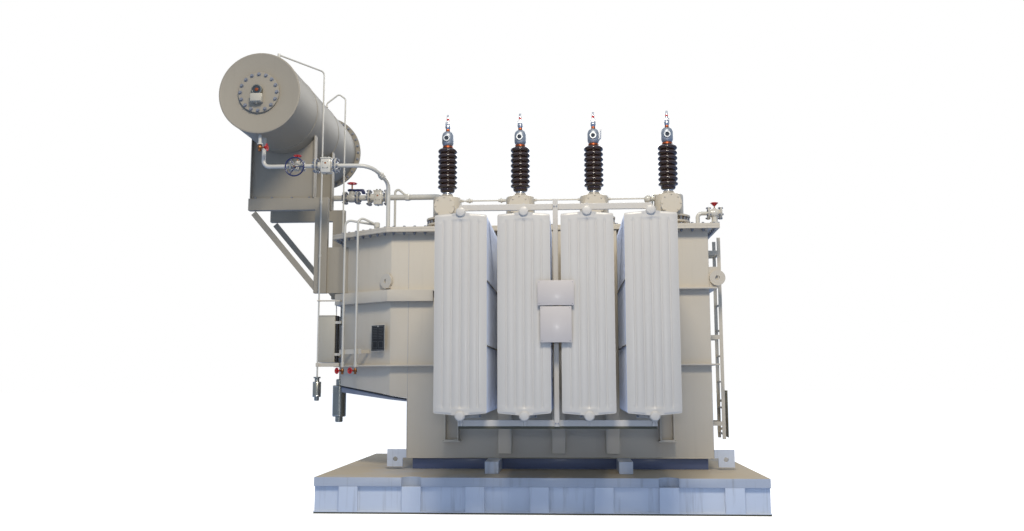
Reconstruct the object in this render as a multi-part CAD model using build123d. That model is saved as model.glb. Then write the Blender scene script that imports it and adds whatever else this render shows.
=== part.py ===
from build123d import *
import math
import os

# Oil-filled power transformer on a steel plinth, millimetres, +Z up.
# The origin is the centre of the plinth's bottom face. The long side with the
# radiators faces -Y, and the conservator stands over the left end, at -X.
# Heights are given from what carries the piece, and places along the tank from
# its centre or from the nearer end wall, so that a piece follows its seat.

# Clearances: a stem in its bore, a plate beside a round bar, and the overrun of cuts
STEM_FIT = 0.5
REST_FIT = 0.3
OVERRUN = 20

# Plinth
PLINTH_L = 4750
PLINTH_W = 3150
PLINTH_H = 375
DECK_T = 95
RIB_PITCH = 670
RIB_W = 200
RIB_DEPTH = 40
WEB_T = 30
FOOT_T = 25
NOTCH_R = 104
NOTCH_RIB = 2

# Beams between plinth and tank
BASE_BEAM_H = 130
BASE_BEAM_X = 728.5
BASE_BEAM_W = 150
BASE_BEAM_REACH = 1358
SKID_INSET = 60
SKID_W = 140

# Tank, with its centre and its bevelled tap-changer end
TANK_X = 200
TANK_Y = 190
TANK_L = 3500
TANK_W = 1730
TANK_H = 2610
END_REACH = 910
END_BEND = 210
END_W = 754
END_RISE_LOW = 671
END_RISE_HIGH = 820
RIM_T = 30
COVER_T = 30
OVERHANG = 120

# Ribs round the tank, and stiffeners and jacking brackets on its long walls
RIB_OUT = 80
RIB_T = 18
UPPER_RIB_DROP = 677
LOWER_RIB_RISE = 1061
BAND_H = 136
BAND_L = 300
STIFFENER_PITCH = 610
STIFFENER_W = 155
STIFFENER_OUT = 100
STIFFENER_RISE = 52
JACK_REACH = 1217
JACK_RISE = 185
JACK_H = 320
JACK_W = 160
JACK_OUT = 140
JACK_WALL = 12
JACK_FOOT_T = 15
JACK_FOOT_LIP = 20

# Round lifting plates on the walls, and pulling eyes at the foot
LIFT_R = 90
LIFT_EYE_R = 27
LIFT_T = 30
LIFT_RISE = 111
LIFT_SEAT_T = 100
LIFT_SEAT_W = 110
LIFT_SEAT_H = 242
LIFT_PAD = 60
LIFT_PAD_H = 170
LIFT_CORNER = 85
PULL_L = 225
PULL_T = 30
PULL_H = 95
PULL_DROP = 100
PULL_EYE_X = 130
PULL_EYE_DROP = 15
PULL_EYE_R = 27

# Radiators: standard 520 mm panels between headers 2000 mm apart
RAD_PITCH = 625
RAD_COUNT = 4
PANEL_W = 520
PANEL_T = 12
PANEL_PITCH = 46
PANEL_COUNT = 31
HEADER_SIDES = 8
HEADER_R = 44.5
HEADER_RISE = 536
HEADER_DROP = 74
HEADER_TAIL = 40
CAP_OUT = 30
CORNER_IN = 38
POINT_OUT = 8
FLANGE_W = 150
FLANGE_T = 16
VALVE_T = 60
NECK_L = 191
LUG_W = 60
LUG_TOP_W = 16
LUG_H = 48
LUG_T = 8
LUG_BACK = 14

# Frame that ties the radiators together, and the bare boards on its post
TIE_BACK = 159
TIE_T = 30
TIE_H = 62
TIE_TOP_L = 1875
TIE_BOTTOM_L = 1950
POST_W = 50
POST_EXTRA = 44.5
SIGN_T = 4
SIGN_OUT = 40
SIGN_WIDE = 356
SIGN_NARROW = 304
SIGN_TOP_H = 244
SIGN_LOW_H = 350
SIGN_TOP_RISE = 65
SIGN_LOW_RISE = -295
SIGN_ARM_W = 30
SIGN_ARM_H = 24
SIGN_ARM_IN = 50

# Conservator
CON_OUT = 762
CON_RISE = 1515
CON_R = 475
CON_HALF = 1420
MANHOLE_R = 240
MANHOLE_T = 24
REAR_FLANGE_R = 535
REAR_FLANGE_T = 40
STUB_R = 40
STUB_H = 45
STUB_FRONT_IN = 540
STUB_REAR_IN = 660
GAUGE_R = 62
GAUGE_T = 55
GAUGE_SIDE = 8
GAUGE_RISE = 18
GAUGE_BOX_W = 135
GAUGE_BOX_H = 100
GAUGE_BOX_T = 80
GAUGE_BOX_DROP = 80

# Its two supports: saddle, arm, post, brace and gusset
SUPPORT_SPREAD = 430
CHANNEL_D = 80
ARM_RISE = 468
ARM_H = 152
ARM_REACH = 428
POST_IN = 180
POST_D = 160
POST_DROP = 665
BRACE_W = 70
BRACE_T = 40
BRACE_TOP_IN = 62
BRACE_TOP_DROP = 30
BRACE_FOOT_IN = 20
BRACE_FOOT_RISE = 60
GUSSET_T = 12
GUSSET_DROP = 95
GUSSET_IN = 200
SADDLE_HALF = 405
SADDLE_T = 12
SADDLE_EDGE = 60

# High-voltage bushings on their housings
HV_PITCH = 910
HV_SIDE = -340
HV_COUNT = 4
TURRET_BASE_R = 200
TURRET_BASE_T = 50
TURRET_NECK_R = 150
TURRET_NECK_H = 135
TURRET_W = 345
TURRET_FRONT = 250
TURRET_BACK = 190
TURRET_WALL_H = 310
TURRET_ROOF_H = 70
TURRET_FLAT = 140
TURRET_LID_R = 120
TURRET_LID_T = 15
TURRET_LID_DROP = 135
HV_NECK_R = 58
HV_NECK_H = 35
PORCELAIN_H = 553
SHEDS = 8
SHED_R = 120
CORE_R = 92
FOOT_R = 56
HEAD_R = 72
HEAD_NECK_R = 50
HEAD_H = 208
HEAD_CHAMFER = 24
PORT_R = 43
PORT_OUT = 92
PORT_RISE = 107
COLLAR_R = 25
COLLAR_H = 34
CLAMP_W = 60
CLAMP_D = 44
CLAMP_H = 90
STUD_R = 15
STUD_H = 90

# Low-voltage bushings, behind the others
LV_OFFSET = 475
LV_PITCH = 955
LV_SIDE = 450
LV_COUNT = 3
LV_FLANGE_R = 110
LV_FLANGE_T = 20
LV_SEAT_R = 70
LV_SEAT_H = 40
LV_PORCELAIN_H = 315
LV_SHEDS = 4
LV_SHED_R = 72
LV_CORE_R = 50
LV_FOOT_R = 45
LV_CAP_R = 38
LV_CAP_H = 30
LV_STUD_H = 60

# Porcelain ends, as shares of its height, and where a shed's tip is in its own height
PORCELAIN_FOOT_SHARE = 0.05
SHED_TIP_SHARE = 0.38

# Tap changer's head on the cover
TAP_HEAD_IN = 420
TAP_HEAD_R = 330
TAP_HEAD_T = 25
TAP_DOME_R = 260
TAP_DOME_H = 95
TAP_TOP_R = 120
TAP_TOP_H = 25

# Gas pipe between the housings, with two valves and a cone at its right end
GAS_R = 9
GAS_DROP = 22
GAS_VALVE = (76, 50, 60)
GAS_VALVES_IN = (104.5, 63.5)
GAS_CONE_L = 125
GAS_CONE_R = 65

# Main oil pipe, its valve, gas relay and branch
MAIN_R = 38
MAIN_SIDE = 570
MAIN_RISE = 665
MAIN_BEND = 120
MAIN_DROP_IN = 150
INTO_CON = 30
BRANCH_R = 16
BRANCH_IN = 448
BRANCH_JOIN = 178
BRANCH_RISE = 150
BRANCH_BEND = 40
VALVE_OUT = 632
VALVE_HALF = 98
VALVE_FLANGE_R = 88
VALVE_FLANGE_T = 22
VALVE_BODY_R = 60
BONNET_R = 26
BONNET_H = 122
COLLAR_STEP_H = 90
COLLAR_STEP_R = 40
STEM_DEPTH = 25
RELAY_OUT = 994
RELAY_HALF = 128
RELAY_FLANGE_R = 94
RELAY_FLANGE_T = 18
RELAY_BARREL_R = 60
RELAY_W = 114
RELAY_LOW = 86
RELAY_HIGH = 126

# Tap changer's oil pipe, its valve and relay
TAP_R = 24
TAP_IN = 230
TAP_RISE = 695
TAP_BEND = 70
TAP_END_BEND = 60
TAP_TURN_OUT = 1162
TAP_DROP_IN = 266
TAP_DROP_SIDE = 55
TAP_DROP_RISE = 525
TAP_VALVE_OUT = 402
TAP_VALVE_HALF = 80
TAP_VALVE_FLANGE_R = 62
TAP_VALVE_BODY_R = 40
TAP_BONNET_R = 24
TAP_BONNET_H = 60
TAP_RING_DROP = 30
TAP_RING_OUT = 70
TAP_RELAY_OUT = 749
TAP_RELAY_HALF = 126
TAP_RELAY_FLANGE_R = 88
TAP_RELAY_BARREL_R = 48
TAP_RELAY_W = 118
TAP_RELAY_HIGH = 91

# Conservator's drain
CON_DRAIN_R = 20
CON_DRAIN_IN = 80
CON_DRAIN_DROP = 625
CON_DRAIN_END = 650
CON_DRAIN_W = 56
CON_DRAIN_H = 90

# Breathers and their pipes
THIN_R = 10
THIN_BEND = 50
RISER_R = 26
RISER_RISE = 585
RISER_SEAT = 400
RISER_SIDE = 112
RISER_IN = 330
FIRST_TOP_RISE = 572
FIRST_END_RISE = 540
FIRST_OUT = 245
FIRST_SIDE = -540
FIRST_FOOT_RISE = 925
SECOND_BEND = 45
SECOND_OUT = 130
SECOND_SIDE = 110
SECOND_FOOT_RISE = 900
SECOND_START = 376
SECOND_START_RISE = 330
SECOND_PEAK_IN = 90
SECOND_PEAK_RISE = 460
SECOND_END_RISE = 390
SMALL_CAP_R = 42
SMALL_CAP_H = 16
SMALL_NECK_R = 28
SMALL_NECK_H = 58
SMALL_BODY_R = 49
SMALL_BODY_END = 240
SMALL_H = 285
LARGE_NECK_R = 45
LARGE_NECK_H = 85
LARGE_BODY_R = 84
LARGE_BODY_END = 472
LARGE_END_R = 47
LARGE_H = 540

# Brackets that hold the first breather's pipe to the end wall
BRACKET_RISES = (1045, 1835)
BRACKET_HEIGHTS = (46, 16)
BRACKET_T = 16
BRACKET_GRIP = 17

# Drain tubes in front of the bevelled wall, with their valves, fitting and clamp
DRAIN_R = 14
DRAIN_ALONG = (224, 452)
DRAIN_OUT = 170
DRAIN_FOOT_RISE = 1025
DRAIN_VALVE_RISE = 995
DRAIN_TOPS = (150, 170)
DRAIN_BEND = 65
DRAIN_VALVE_W = 44
DRAIN_VALVE_H = 84
FITTING_ALONG = 540
FITTING_IN = 56
FITTING_R = 36
FITTING_H = 112
FITTING_BASE_R = 55
FITTING_BASE_T = 14
FITTING_PORT = 82
CLAMP_RISE = 1220
CLAMP_FROM = 148
CLAMP_TO = 528
CLAMP_T = 8
CLAMP_BAR_H = 55
CLAMP_ARM_IN = 36
CLAMP_ARM_T = 12
CLAMP_ARM_H = 40

# Control cabinet, conduits beside it, and the bare nameplate
CABINET_OUT = 65
CABINET_D = 215
CABINET_W = 460
CABINET_H = 580
CABINET_RISE = 1095
CABINET_SIDE = -440
CABINET_ARM = 30
CABINET_ARM_IN = 110
CONDUIT_R = 17
CONDUIT_OUT = 48
CONDUIT_SIDES = (-412, -372)
CONDUIT_TRIM = 10
PLATE_ALONG = 704
PLATE_OUT = 52
PLATE_RISE = 1375
PLATE_W = 205
PLATE_H = 285
PLATE_T = 6
PLATE_ARM_X = 70
PLATE_ARM_W = 16
PLATE_ARM_H = 40

# Ladder on the right-hand end wall, and the plate hinged over its foot
LADDER_OUT = 160
LADDER_D = 40
LADDER_T = 10
LADDER_SIDES = (-600, -260)
LADDER_RISE = 195
LADDER_DROP = 55
RUNG_STEP = 300
RUNG_RISE = 60
RUNG_T = 20
STAY_IN = 180
STAY_H = 50
GUARD_OUT = 50
GUARD_SIDE = 25
GUARD_T = 4
GUARD_W = 362
GUARD_H = 540
GUARD_RISE = 20
GUARD_IN = 10
HINGE_RISES = (90, 420)
HINGE_LUG_H = 30
HINGE_LUG_T = 8
HINGE_PLATE_T = 12
PIN_R = 6
PIN_H = 70
KNUCKLE_R = 11
KNUCKLE_FROM = 17
KNUCKLE_TO = 60
KNUCKLE_WEB = 15
KNUCKLE_GAP = 20
SLOT_END = 40
SLOT_W = 60

# Vent valve at the cover's right end
VENT_R = 24
VENT_OUT = 119
VENT_SIDE = -640
VENT_RISE = 172
VENT_IN = 199
VENT_BEND = 45
VENT_HALF = 80
VENT_FLANGE_R = 66
VENT_BODY_R = 42
VENT_BONNET_H = 62
VENT_LEG_R = 26
VENT_LEG_H = 110
VENT_FOOT_R = 50
VENT_FOOT_DROP = 125
VENT_FOOT_T = 45

# What turns: radius, rim, stem radius and stem length of each handwheel
MAIN_WHEEL = (68, 14, 10, 177)
TAP_WHEEL = (50, 10, 7, 97)
RING_WHEEL = (117, 16, 7, 75)
DRAIN_WHEEL = (46, 9, 6, 80)
TUBE_WHEEL = (42, 9, 6, 80)
VENT_WHEEL = (46, 10, 7, 97)
RIM_SIDES = 14
STEM_SIDES = 8
STEM_START = 5
LEVER_HUB_R = 60
LEVER_HUB_H = 22
LEVER_W = 30
LEVER_T = 14
LEVER_REACH = 180
LEVER_BEND = 146
LEVER_DROP = 44

LEFT = TANK_X - TANK_L / 2
RIGHT = TANK_X + TANK_L / 2
FRONT = TANK_Y - TANK_W / 2
BACK = TANK_Y + TANK_W / 2
TANK_Z0 = PLINTH_H + BASE_BEAM_H
TANK_Z1 = TANK_Z0 + TANK_H
COVER_TOP = TANK_Z1 + RIM_T + COVER_T
END_X = LEFT - END_REACH
BEVEL_TURN = math.degrees(math.atan2(FRONT - TANK_Y + END_W / 2, LEFT - END_BEND - END_X))

UPPER_RIB_Z = TANK_Z1 - UPPER_RIB_DROP
LOWER_RIB_Z = TANK_Z0 + LOWER_RIB_RISE
LIFT_Z = UPPER_RIB_Z + LIFT_RISE
HEADER_Z0 = TANK_Z0 + HEADER_RISE
HEADER_Z1 = TANK_Z1 - HEADER_DROP
BANK_D = (PANEL_COUNT - 1) * PANEL_PITCH + PANEL_T
FLANGE_Y = FRONT - NECK_L - VALVE_T
RAD_FACE = FLANGE_Y - FLANGE_T - HEADER_TAIL - BANK_D
TIE_Y = RAD_FACE + TIE_BACK

CON_X = END_X - CON_OUT
CON_Z = COVER_TOP + CON_RISE
CON_FRONT = TANK_Y - CON_HALF
CON_REAR = TANK_Y + CON_HALF
INSIDE_CON = CON_Z - CON_R + INTO_CON
ARM_X0 = CON_X - ARM_REACH
ARM_TOP = COVER_TOP + ARM_RISE
POST_X1 = END_X - POST_IN
POST_X0 = POST_X1 - POST_D
POST_FOOT = TANK_Z1 - POST_DROP

HV_Y = TANK_Y + HV_SIDE
TURRET_Z0 = COVER_TOP + TURRET_NECK_H
TURRET_SHOULDER = TURRET_Z0 + TURRET_WALL_H
TURRET_TOP = TURRET_SHOULDER + TURRET_ROOF_H
PORCELAIN_Z0 = TURRET_TOP + HV_NECK_H
PORCELAIN_TOP = PORCELAIN_Z0 + PORCELAIN_H
LV_X = TANK_X + LV_OFFSET
LV_Y = TANK_Y + LV_SIDE

MAIN_Y = TANK_Y + MAIN_SIDE
MAIN_Z = COVER_TOP + MAIN_RISE
VALVE_X = CON_X + VALVE_OUT
RELAY_X = CON_X + RELAY_OUT
TAP_Y = CON_FRONT + TAP_IN
TAP_Z = COVER_TOP + TAP_RISE
TAP_VALVE_X = CON_X + TAP_VALVE_OUT
TAP_RELAY_X = CON_X + TAP_RELAY_OUT
CON_DRAIN_Y = CON_FRONT + CON_DRAIN_IN
CON_DRAIN_Z = CON_Z - CON_DRAIN_DROP
FIRST_X = END_X - FIRST_OUT
FIRST_Y = TANK_Y + FIRST_SIDE
FIRST_Z = TANK_Z0 + FIRST_FOOT_RISE
SECOND_X = END_X - SECOND_OUT
SECOND_Y = TANK_Y + SECOND_SIDE
SECOND_Z = TANK_Z0 + SECOND_FOOT_RISE
DRAIN_VALVE_Z = TANK_Z0 + DRAIN_VALVE_RISE

LADDER_X = RIGHT + LADDER_OUT
LADDER_NEAR = TANK_Y + LADDER_SIDES[0]
LADDER_FAR = TANK_Y + LADDER_SIDES[1]
LADDER_Z0 = TANK_Z0 + LADDER_RISE
LADDER_Z1 = TANK_Z1 - LADDER_DROP
GUARD_X = LADDER_X + GUARD_OUT
GUARD_Y = LADDER_FAR + GUARD_SIDE
VENT_X = RIGHT + VENT_OUT
VENT_Y = TANK_Y + VENT_SIDE
VENT_Z = COVER_TOP + VENT_RISE

ALONG_X = Rotation(0, 90, 0)
ALONG_Y = Rotation(90, 0, 0)
TO_FRONT = Rotation(90, 0, 0)
TO_RIGHT = Rotation(0, 90, 0)


def block(x0, x1, y0, y1, z0, z1):
    """A box between two corners."""
    corner = (Align.MIN, Align.MIN, Align.MIN)
    return Pos(x0, y0, z0) * Box(x1 - x0, y1 - y0, z1 - z0, align=corner)


def upright(x, y, z0, z1, radius):
    """A round bar standing on (x, y)."""
    foot = (Align.CENTER, Align.CENTER, Align.MIN)
    return Pos(x, y, z0) * Cylinder(radius, z1 - z0, align=foot)


def bar_x(x0, x1, y, z, radius):
    """A round bar along X."""
    return Pos((x0 + x1) / 2, y, z) * ALONG_X * Cylinder(radius, x1 - x0)


def bar_y(x, y0, y1, z, radius):
    """A round bar along Y."""
    return Pos(x, (y0 + y1) / 2, z) * ALONG_Y * Cylinder(radius, y1 - y0)


def turned(*rows):
    """A turned solid about Z: (radius, height) rows from the foot up."""
    outline = [(0, 0, rows[0][1])] + [(r, 0, z) for r, z in rows] + [(0, 0, rows[-1][1])]
    return revolve(make_face(Polyline(*outline, close=True)), axis=Axis.Z)


def pipe(points, radius, bend):
    """A pipe through the points, with its corners bent."""
    path = FilletPolyline(*points, radius=bend)
    start = Plane(origin=path @ 0, z_dir=path % 0)
    return sweep(start * Circle(radius), path=path)


def outline_plate(points, y0, y1):
    """A plate between y0 and y1 with an outline of (x, z) points."""
    corners = [(x, y0, z) for x, z in points]
    return extrude(make_face(Polyline(*corners, close=True)), amount=y1 - y0, dir=(0, 1, 0))


def strut(x0, z0, x1, z1, y0, y1, width):
    """A flat bar from one point to another in an upright plane."""
    run = math.dist((x0, z0), (x1, z1))
    tilt = math.degrees(math.atan2(z1 - z0, x1 - x0))
    bar = Box(run, y1 - y0, width)
    return Pos((x0 + x1) / 2, (y0 + y1) / 2, (z0 + z1) / 2) * Rotation(0, -tilt, 0) * bar


def socket(x, y, z0, z1, radius):
    """The hole that a stem of this radius turns in."""
    return upright(x, y, z0, z1, radius + STEM_FIT)


def mirrored(shape):
    """The same shape on the other side of the tank."""
    return Pos(0, 2 * TANK_Y, 0) * mirror(shape, about=Plane.XZ)


def both(shape):
    """A shape and its twin on the other side of the tank."""
    return [shape, mirrored(shape)]


def spread(middle, pitch, count):
    """Places a pitch apart about a middle."""
    return [middle + (k - (count - 1) / 2) * pitch for k in range(count)]


def save(name, *shapes):
    """Write one sub-part, as its separate solids."""
    solids = [solid for shape in shapes for solid in shape.solids()]
    export_step(Compound(children=solids), f"parts/{name}.step")


def tank_plan(out):
    """The tank's outline from above, moved outwards."""
    half = END_W / 2
    corners = [
        (RIGHT, FRONT),
        (LEFT - END_BEND, FRONT),
        (END_X, TANK_Y - half),
        (END_X, TANK_Y + half),
        (LEFT - END_BEND, BACK),
        (RIGHT, BACK),
    ]
    face = make_face(Polyline(*corners, close=True))
    if out:
        face = offset(face, amount=out, kind=Kind.INTERSECTION)
    return face


def plan_plate(out, z0, z1):
    """A plate of the tank's outline."""
    return extrude(Pos(0, 0, z0) * tank_plan(out), amount=z1 - z0)


def on_bevel(along, out, z):
    """A place in front of the bevelled wall: X along it, -Y away from it."""
    corner = Pos(END_X, TANK_Y - END_W / 2, z)
    return corner * Rotation(0, 0, BEVEL_TURN) * Pos(along, -out, 0)


def rib_places():
    """The middles of the plinth's ribs."""
    return [RIB_PITCH * k for k in range(-3, 4)]


def plinth_deck():
    deck = block(-PLINTH_L / 2, PLINTH_L / 2, -PLINTH_W / 2, PLINTH_W / 2, PLINTH_H - DECK_T, PLINTH_H)
    for x in (-NOTCH_RIB * RIB_PITCH, NOTCH_RIB * RIB_PITCH):
        for y in (-PLINTH_W / 2, PLINTH_W / 2):
            deck -= upright(x, y, PLINTH_H - 2 * DECK_T, PLINTH_H + DECK_T, NOTCH_R)
    return deck


def plinth_side_beam():
    """The front beam: a web with a foot along it and the ribs in front."""
    top = PLINTH_H - DECK_T
    face = -PLINTH_W / 2
    web = face + RIB_DEPTH
    beam = block(-PLINTH_L / 2, PLINTH_L / 2, web, web + WEB_T, 0, top)
    beam += block(-PLINTH_L / 2, PLINTH_L / 2, face, web, 0, FOOT_T)
    for x in rib_places():
        beam += block(x - RIB_W / 2, x + RIB_W / 2, face, web, 0, top)
    return beam


def plinth_cross_beams():
    inner = PLINTH_W / 2 - RIB_DEPTH - WEB_T
    top = PLINTH_H - DECK_T
    beams = [block(x - RIB_W / 2, x + RIB_W / 2, -inner, inner, 0, top) for x in rib_places()]
    edge = PLINTH_L / 2
    beams.append(block(-edge, -edge + WEB_T, -inner, inner, 0, top))
    beams.append(block(edge - WEB_T, edge, -inner, inner, 0, top))
    return beams


def base_cross_beams():
    beams = []
    half = BASE_BEAM_W / 2
    for x in (TANK_X - BASE_BEAM_X, TANK_X + BASE_BEAM_X):
        y0 = TANK_Y - BASE_BEAM_REACH
        beams.append(block(x - half, x + half, y0, TANK_Y + BASE_BEAM_REACH, PLINTH_H, TANK_Z0))
    return beams


def base_side_beams():
    """Beams along both long sides, cut where the cross beams pass."""
    stops = [LEFT + SKID_INSET, TANK_X - BASE_BEAM_X, TANK_X + BASE_BEAM_X, RIGHT - SKID_INSET]
    half = BASE_BEAM_W / 2
    y0 = FRONT + SKID_INSET
    beams = []
    for i in range(3):
        x0 = stops[i] + (half if i else 0)
        x1 = stops[i + 1] - (half if i < 2 else 0)
        beams += both(block(x0, x1, y0, y0 + SKID_W, PLINTH_H, TANK_Z0))
    return beams


def base_beams():
    """The beams that carry the tank, welded into one frame."""
    frame = Part()
    for beam in base_cross_beams() + base_side_beams():
        frame += beam
    return frame


def tank_shell():
    """The main tank and the higher compartment at its left end, with a sloped bottom."""
    tank = block(LEFT, RIGHT, FRONT, BACK, TANK_Z0, TANK_Z1)
    low = TANK_Z0 + END_RISE_LOW
    weld = LEFT + WEB_T
    side = [(weld, low), (weld, TANK_Z1), (END_X, TANK_Z1), (END_X, TANK_Z0 + END_RISE_HIGH)]
    return tank + (outline_plate(side, FRONT, BACK) & plan_plate(0, TANK_Z0, TANK_Z1))


def wall_stiffeners():
    half = STIFFENER_W / 2
    y0 = FRONT - STIFFENER_OUT
    z0 = TANK_Z0 + STIFFENER_RISE
    beams = []
    for x in spread(TANK_X, STIFFENER_PITCH, 3):
        beams += both(block(x - half, x + half, y0, FRONT, z0, TANK_Z1))
    return beams


def tank_ribs(stiffeners):
    """Two ribs round the tank; the upper one is a deep band at the left end."""
    hole = plan_plate(0, TANK_Z0, TANK_Z1)
    upper = plan_plate(RIB_OUT, UPPER_RIB_Z - RIB_T, UPPER_RIB_Z)
    band = plan_plate(RIB_OUT, UPPER_RIB_Z - BAND_H, UPPER_RIB_Z)
    upper += band & block(END_X - OVERHANG, LEFT + BAND_L, FRONT - OVERHANG, BACK + OVERHANG, TANK_Z0, TANK_Z1)
    lower = plan_plate(RIB_OUT, LOWER_RIB_Z - RIB_T, LOWER_RIB_Z)
    ribs = []
    for rib in (upper, lower):
        rib -= hole
        for beam in stiffeners:
            rib -= beam
        ribs.append(rib)
    return ribs


def jacking_bracket(x):
    """A box bracket with a foot plate that a jack lifts."""
    z0 = TANK_Z0 + JACK_RISE
    half = JACK_W / 2
    inner = half - JACK_WALL
    front = FRONT - JACK_OUT
    top = z0 + JACK_H
    foot = z0 + JACK_FOOT_T
    body = block(x - half, x + half, front, FRONT, foot, top)
    body -= block(x - inner, x + inner, front - OVERRUN, FRONT - JACK_WALL, foot + JACK_WALL, top + OVERRUN)
    wide = half + JACK_FOOT_LIP
    return body + block(x - wide, x + wide, front - JACK_FOOT_LIP / 2, FRONT, z0, foot)


def lifting_disc():
    """A round plate with an eye, facing the front."""
    return ALONG_Y * (Cylinder(LIFT_R, LIFT_T) - Cylinder(LIFT_EYE_R, LIFT_T + OVERRUN))


def lifting_lugs():
    """One lug at each corner: a seat on the end wall or a pad on the bend, and its disc."""
    right = block(RIGHT, RIGHT + LIFT_SEAT_T, FRONT, FRONT + LIFT_SEAT_W, UPPER_RIB_Z, UPPER_RIB_Z + LIFT_SEAT_H)
    right += Pos(RIGHT + LIFT_R, FRONT - LIFT_T / 2, LIFT_Z) * lifting_disc()
    bend = Pos(LEFT - END_BEND, FRONT, LIFT_Z) * Rotation(0, 0, BEVEL_TURN)
    left = bend * Pos(-LIFT_PAD / 2, 0, 0) * Box(LIFT_PAD, LIFT_PAD, LIFT_PAD_H)
    left += bend * Pos(-LIFT_PAD, -(LIFT_PAD - LIFT_T) / 2, 0) * lifting_disc()
    return both(right), both(left - plan_plate(0, TANK_Z0, TANK_Z1))


def pulling_lug(x, side):
    """A plate on the tank's foot corner with an eye outside it."""
    end = x + side * PULL_L
    low = TANK_Z0 - PULL_DROP
    neck = x + side * (BASE_BEAM_W / 2 - SKID_INSET / 2)
    lug = block(min(x, end), max(x, end), FRONT, FRONT + PULL_T, TANK_Z0, TANK_Z0 + PULL_H)
    lug += block(min(neck, end), max(neck, end), FRONT, FRONT + PULL_T, low, TANK_Z0)
    eye = bar_y(x + side * PULL_EYE_X, FRONT - OVERRUN, FRONT + PULL_T + OVERRUN, TANK_Z0 - PULL_EYE_DROP, PULL_EYE_R)
    return lug - eye


def header(x, z, y0, y1):
    """An eight-sided pipe along Y, its flats up and down."""
    turn = 180 / HEADER_SIDES
    ring = RegularPolygon(HEADER_R, HEADER_SIDES, major_radius=False, rotation=turn)
    return Pos(x, y1, z) * ALONG_Y * extrude(ring, amount=y1 - y0)


def end_panel(x, y):
    """The outermost panel, with pointed ends round the headers."""
    half = PANEL_W / 2
    outline = [
        (x - half, HEADER_Z0 + CORNER_IN),
        (x, HEADER_Z0 - POINT_OUT),
        (x + half, HEADER_Z0 + CORNER_IN),
        (x + half, HEADER_Z1 - CORNER_IN),
        (x, HEADER_Z1 + POINT_OUT),
        (x - half, HEADER_Z1 - CORNER_IN),
    ]
    return outline_plate(outline, y, y + PANEL_T)


def radiator_lug(x, y):
    """The lifting plate on a bank's top header."""
    z = HEADER_Z1 + HEADER_R - LUG_T
    outline = [
        (x - LUG_W / 2, z),
        (x + LUG_W / 2, z),
        (x + LUG_TOP_W / 2, z + LUG_H),
        (x - LUG_TOP_W / 2, z + LUG_H),
    ]
    return outline_plate(outline, y, y + LUG_T)


def radiator(x):
    """One bank of flat panels between two headers."""
    back = RAD_FACE + BANK_D - PANEL_T
    end = back + PANEL_T + HEADER_TAIL
    bank = end_panel(x, RAD_FACE) + end_panel(x, back) + radiator_lug(x, RAD_FACE + LUG_BACK)
    wide = FLANGE_W / 2
    for z in (HEADER_Z0, HEADER_Z1):
        bank += header(x, z, RAD_FACE - CAP_OUT, end)
        bank += block(x - wide, x + wide, end, end + FLANGE_T, z - wide, z + wide)
    half = PANEL_W / 2
    for i in range(1, PANEL_COUNT - 1):
        y = RAD_FACE + i * PANEL_PITCH
        bank += block(x - half, x + half, y, y + PANEL_T, HEADER_Z0 + HEADER_R, HEADER_Z1 - HEADER_R)
    return bank


def radiator_valve(x, z):
    """A valve between a radiator's flange and the tank wall."""
    half = FLANGE_W / 2
    valve = block(x - half, x + half, FLANGE_Y, FLANGE_Y + VALVE_T, z - half, z + half)
    return valve + header(x, z, FLANGE_Y + VALVE_T, FRONT)


def tie_frame():
    """Bars over and under the headers and a post in front of them."""
    top = HEADER_Z1 + HEADER_R
    low = HEADER_Z0 - HEADER_R
    frame = block(TANK_X - TIE_TOP_L / 2, TANK_X + TIE_TOP_L / 2, TIE_Y, TIE_Y + TIE_T, top, top + TIE_H)
    frame += block(TANK_X - TIE_BOTTOM_L / 2, TANK_X + TIE_BOTTOM_L / 2, TIE_Y, TIE_Y + TIE_T, low - TIE_H, low)
    half = POST_W / 2
    return frame + block(TANK_X - half, TANK_X + half, TIE_Y - TIE_T, TIE_Y, low - TIE_H, top + TIE_H + POST_EXTRA)


def sign_boards():
    """Two bare boards in front of the post, each on two short arms."""
    front = RAD_FACE - SIGN_OUT
    middle = (HEADER_Z0 + HEADER_Z1) / 2
    boards = []
    for width, rise, height in ((SIGN_WIDE, SIGN_TOP_RISE, SIGN_TOP_H), (SIGN_NARROW, SIGN_LOW_RISE, SIGN_LOW_H)):
        z0 = middle + rise
        z1 = z0 + height
        board = block(TANK_X - width / 2, TANK_X + width / 2, front, front + SIGN_T, z0, z1)
        half = SIGN_ARM_W / 2
        for z in (z0 + SIGN_ARM_IN, z1 - SIGN_ARM_IN):
            low = z - SIGN_ARM_H / 2
            board += block(TANK_X - half, TANK_X + half, front + SIGN_T, TIE_Y - TIE_T, low, low + SIGN_ARM_H)
        boards.append(board)
    return boards


def turret(x):
    """A bushing's housing: round flange, neck, and a box with sloped shoulders and a round lid."""
    half = TURRET_W / 2
    flat = TURRET_FLAT / 2
    outline = [
        (x - half, TURRET_Z0),
        (x + half, TURRET_Z0),
        (x + half, TURRET_SHOULDER),
        (x + flat, TURRET_TOP),
        (x - flat, TURRET_TOP),
        (x - half, TURRET_SHOULDER),
    ]
    front = HV_Y - TURRET_FRONT
    body = outline_plate(outline, front, HV_Y + TURRET_BACK)
    body += bar_y(x, front - TURRET_LID_T, front, TURRET_TOP - TURRET_LID_DROP, TURRET_LID_R)
    body += upright(x, HV_Y, COVER_TOP, TURRET_Z0, TURRET_NECK_R)
    body += upright(x, HV_Y, COVER_TOP, COVER_TOP + TURRET_BASE_T, TURRET_BASE_R)
    return body + upright(x, HV_Y, TURRET_TOP, PORCELAIN_Z0, HV_NECK_R)


def hv_places():
    return spread(TANK_X, HV_PITCH, HV_COUNT)


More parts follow.
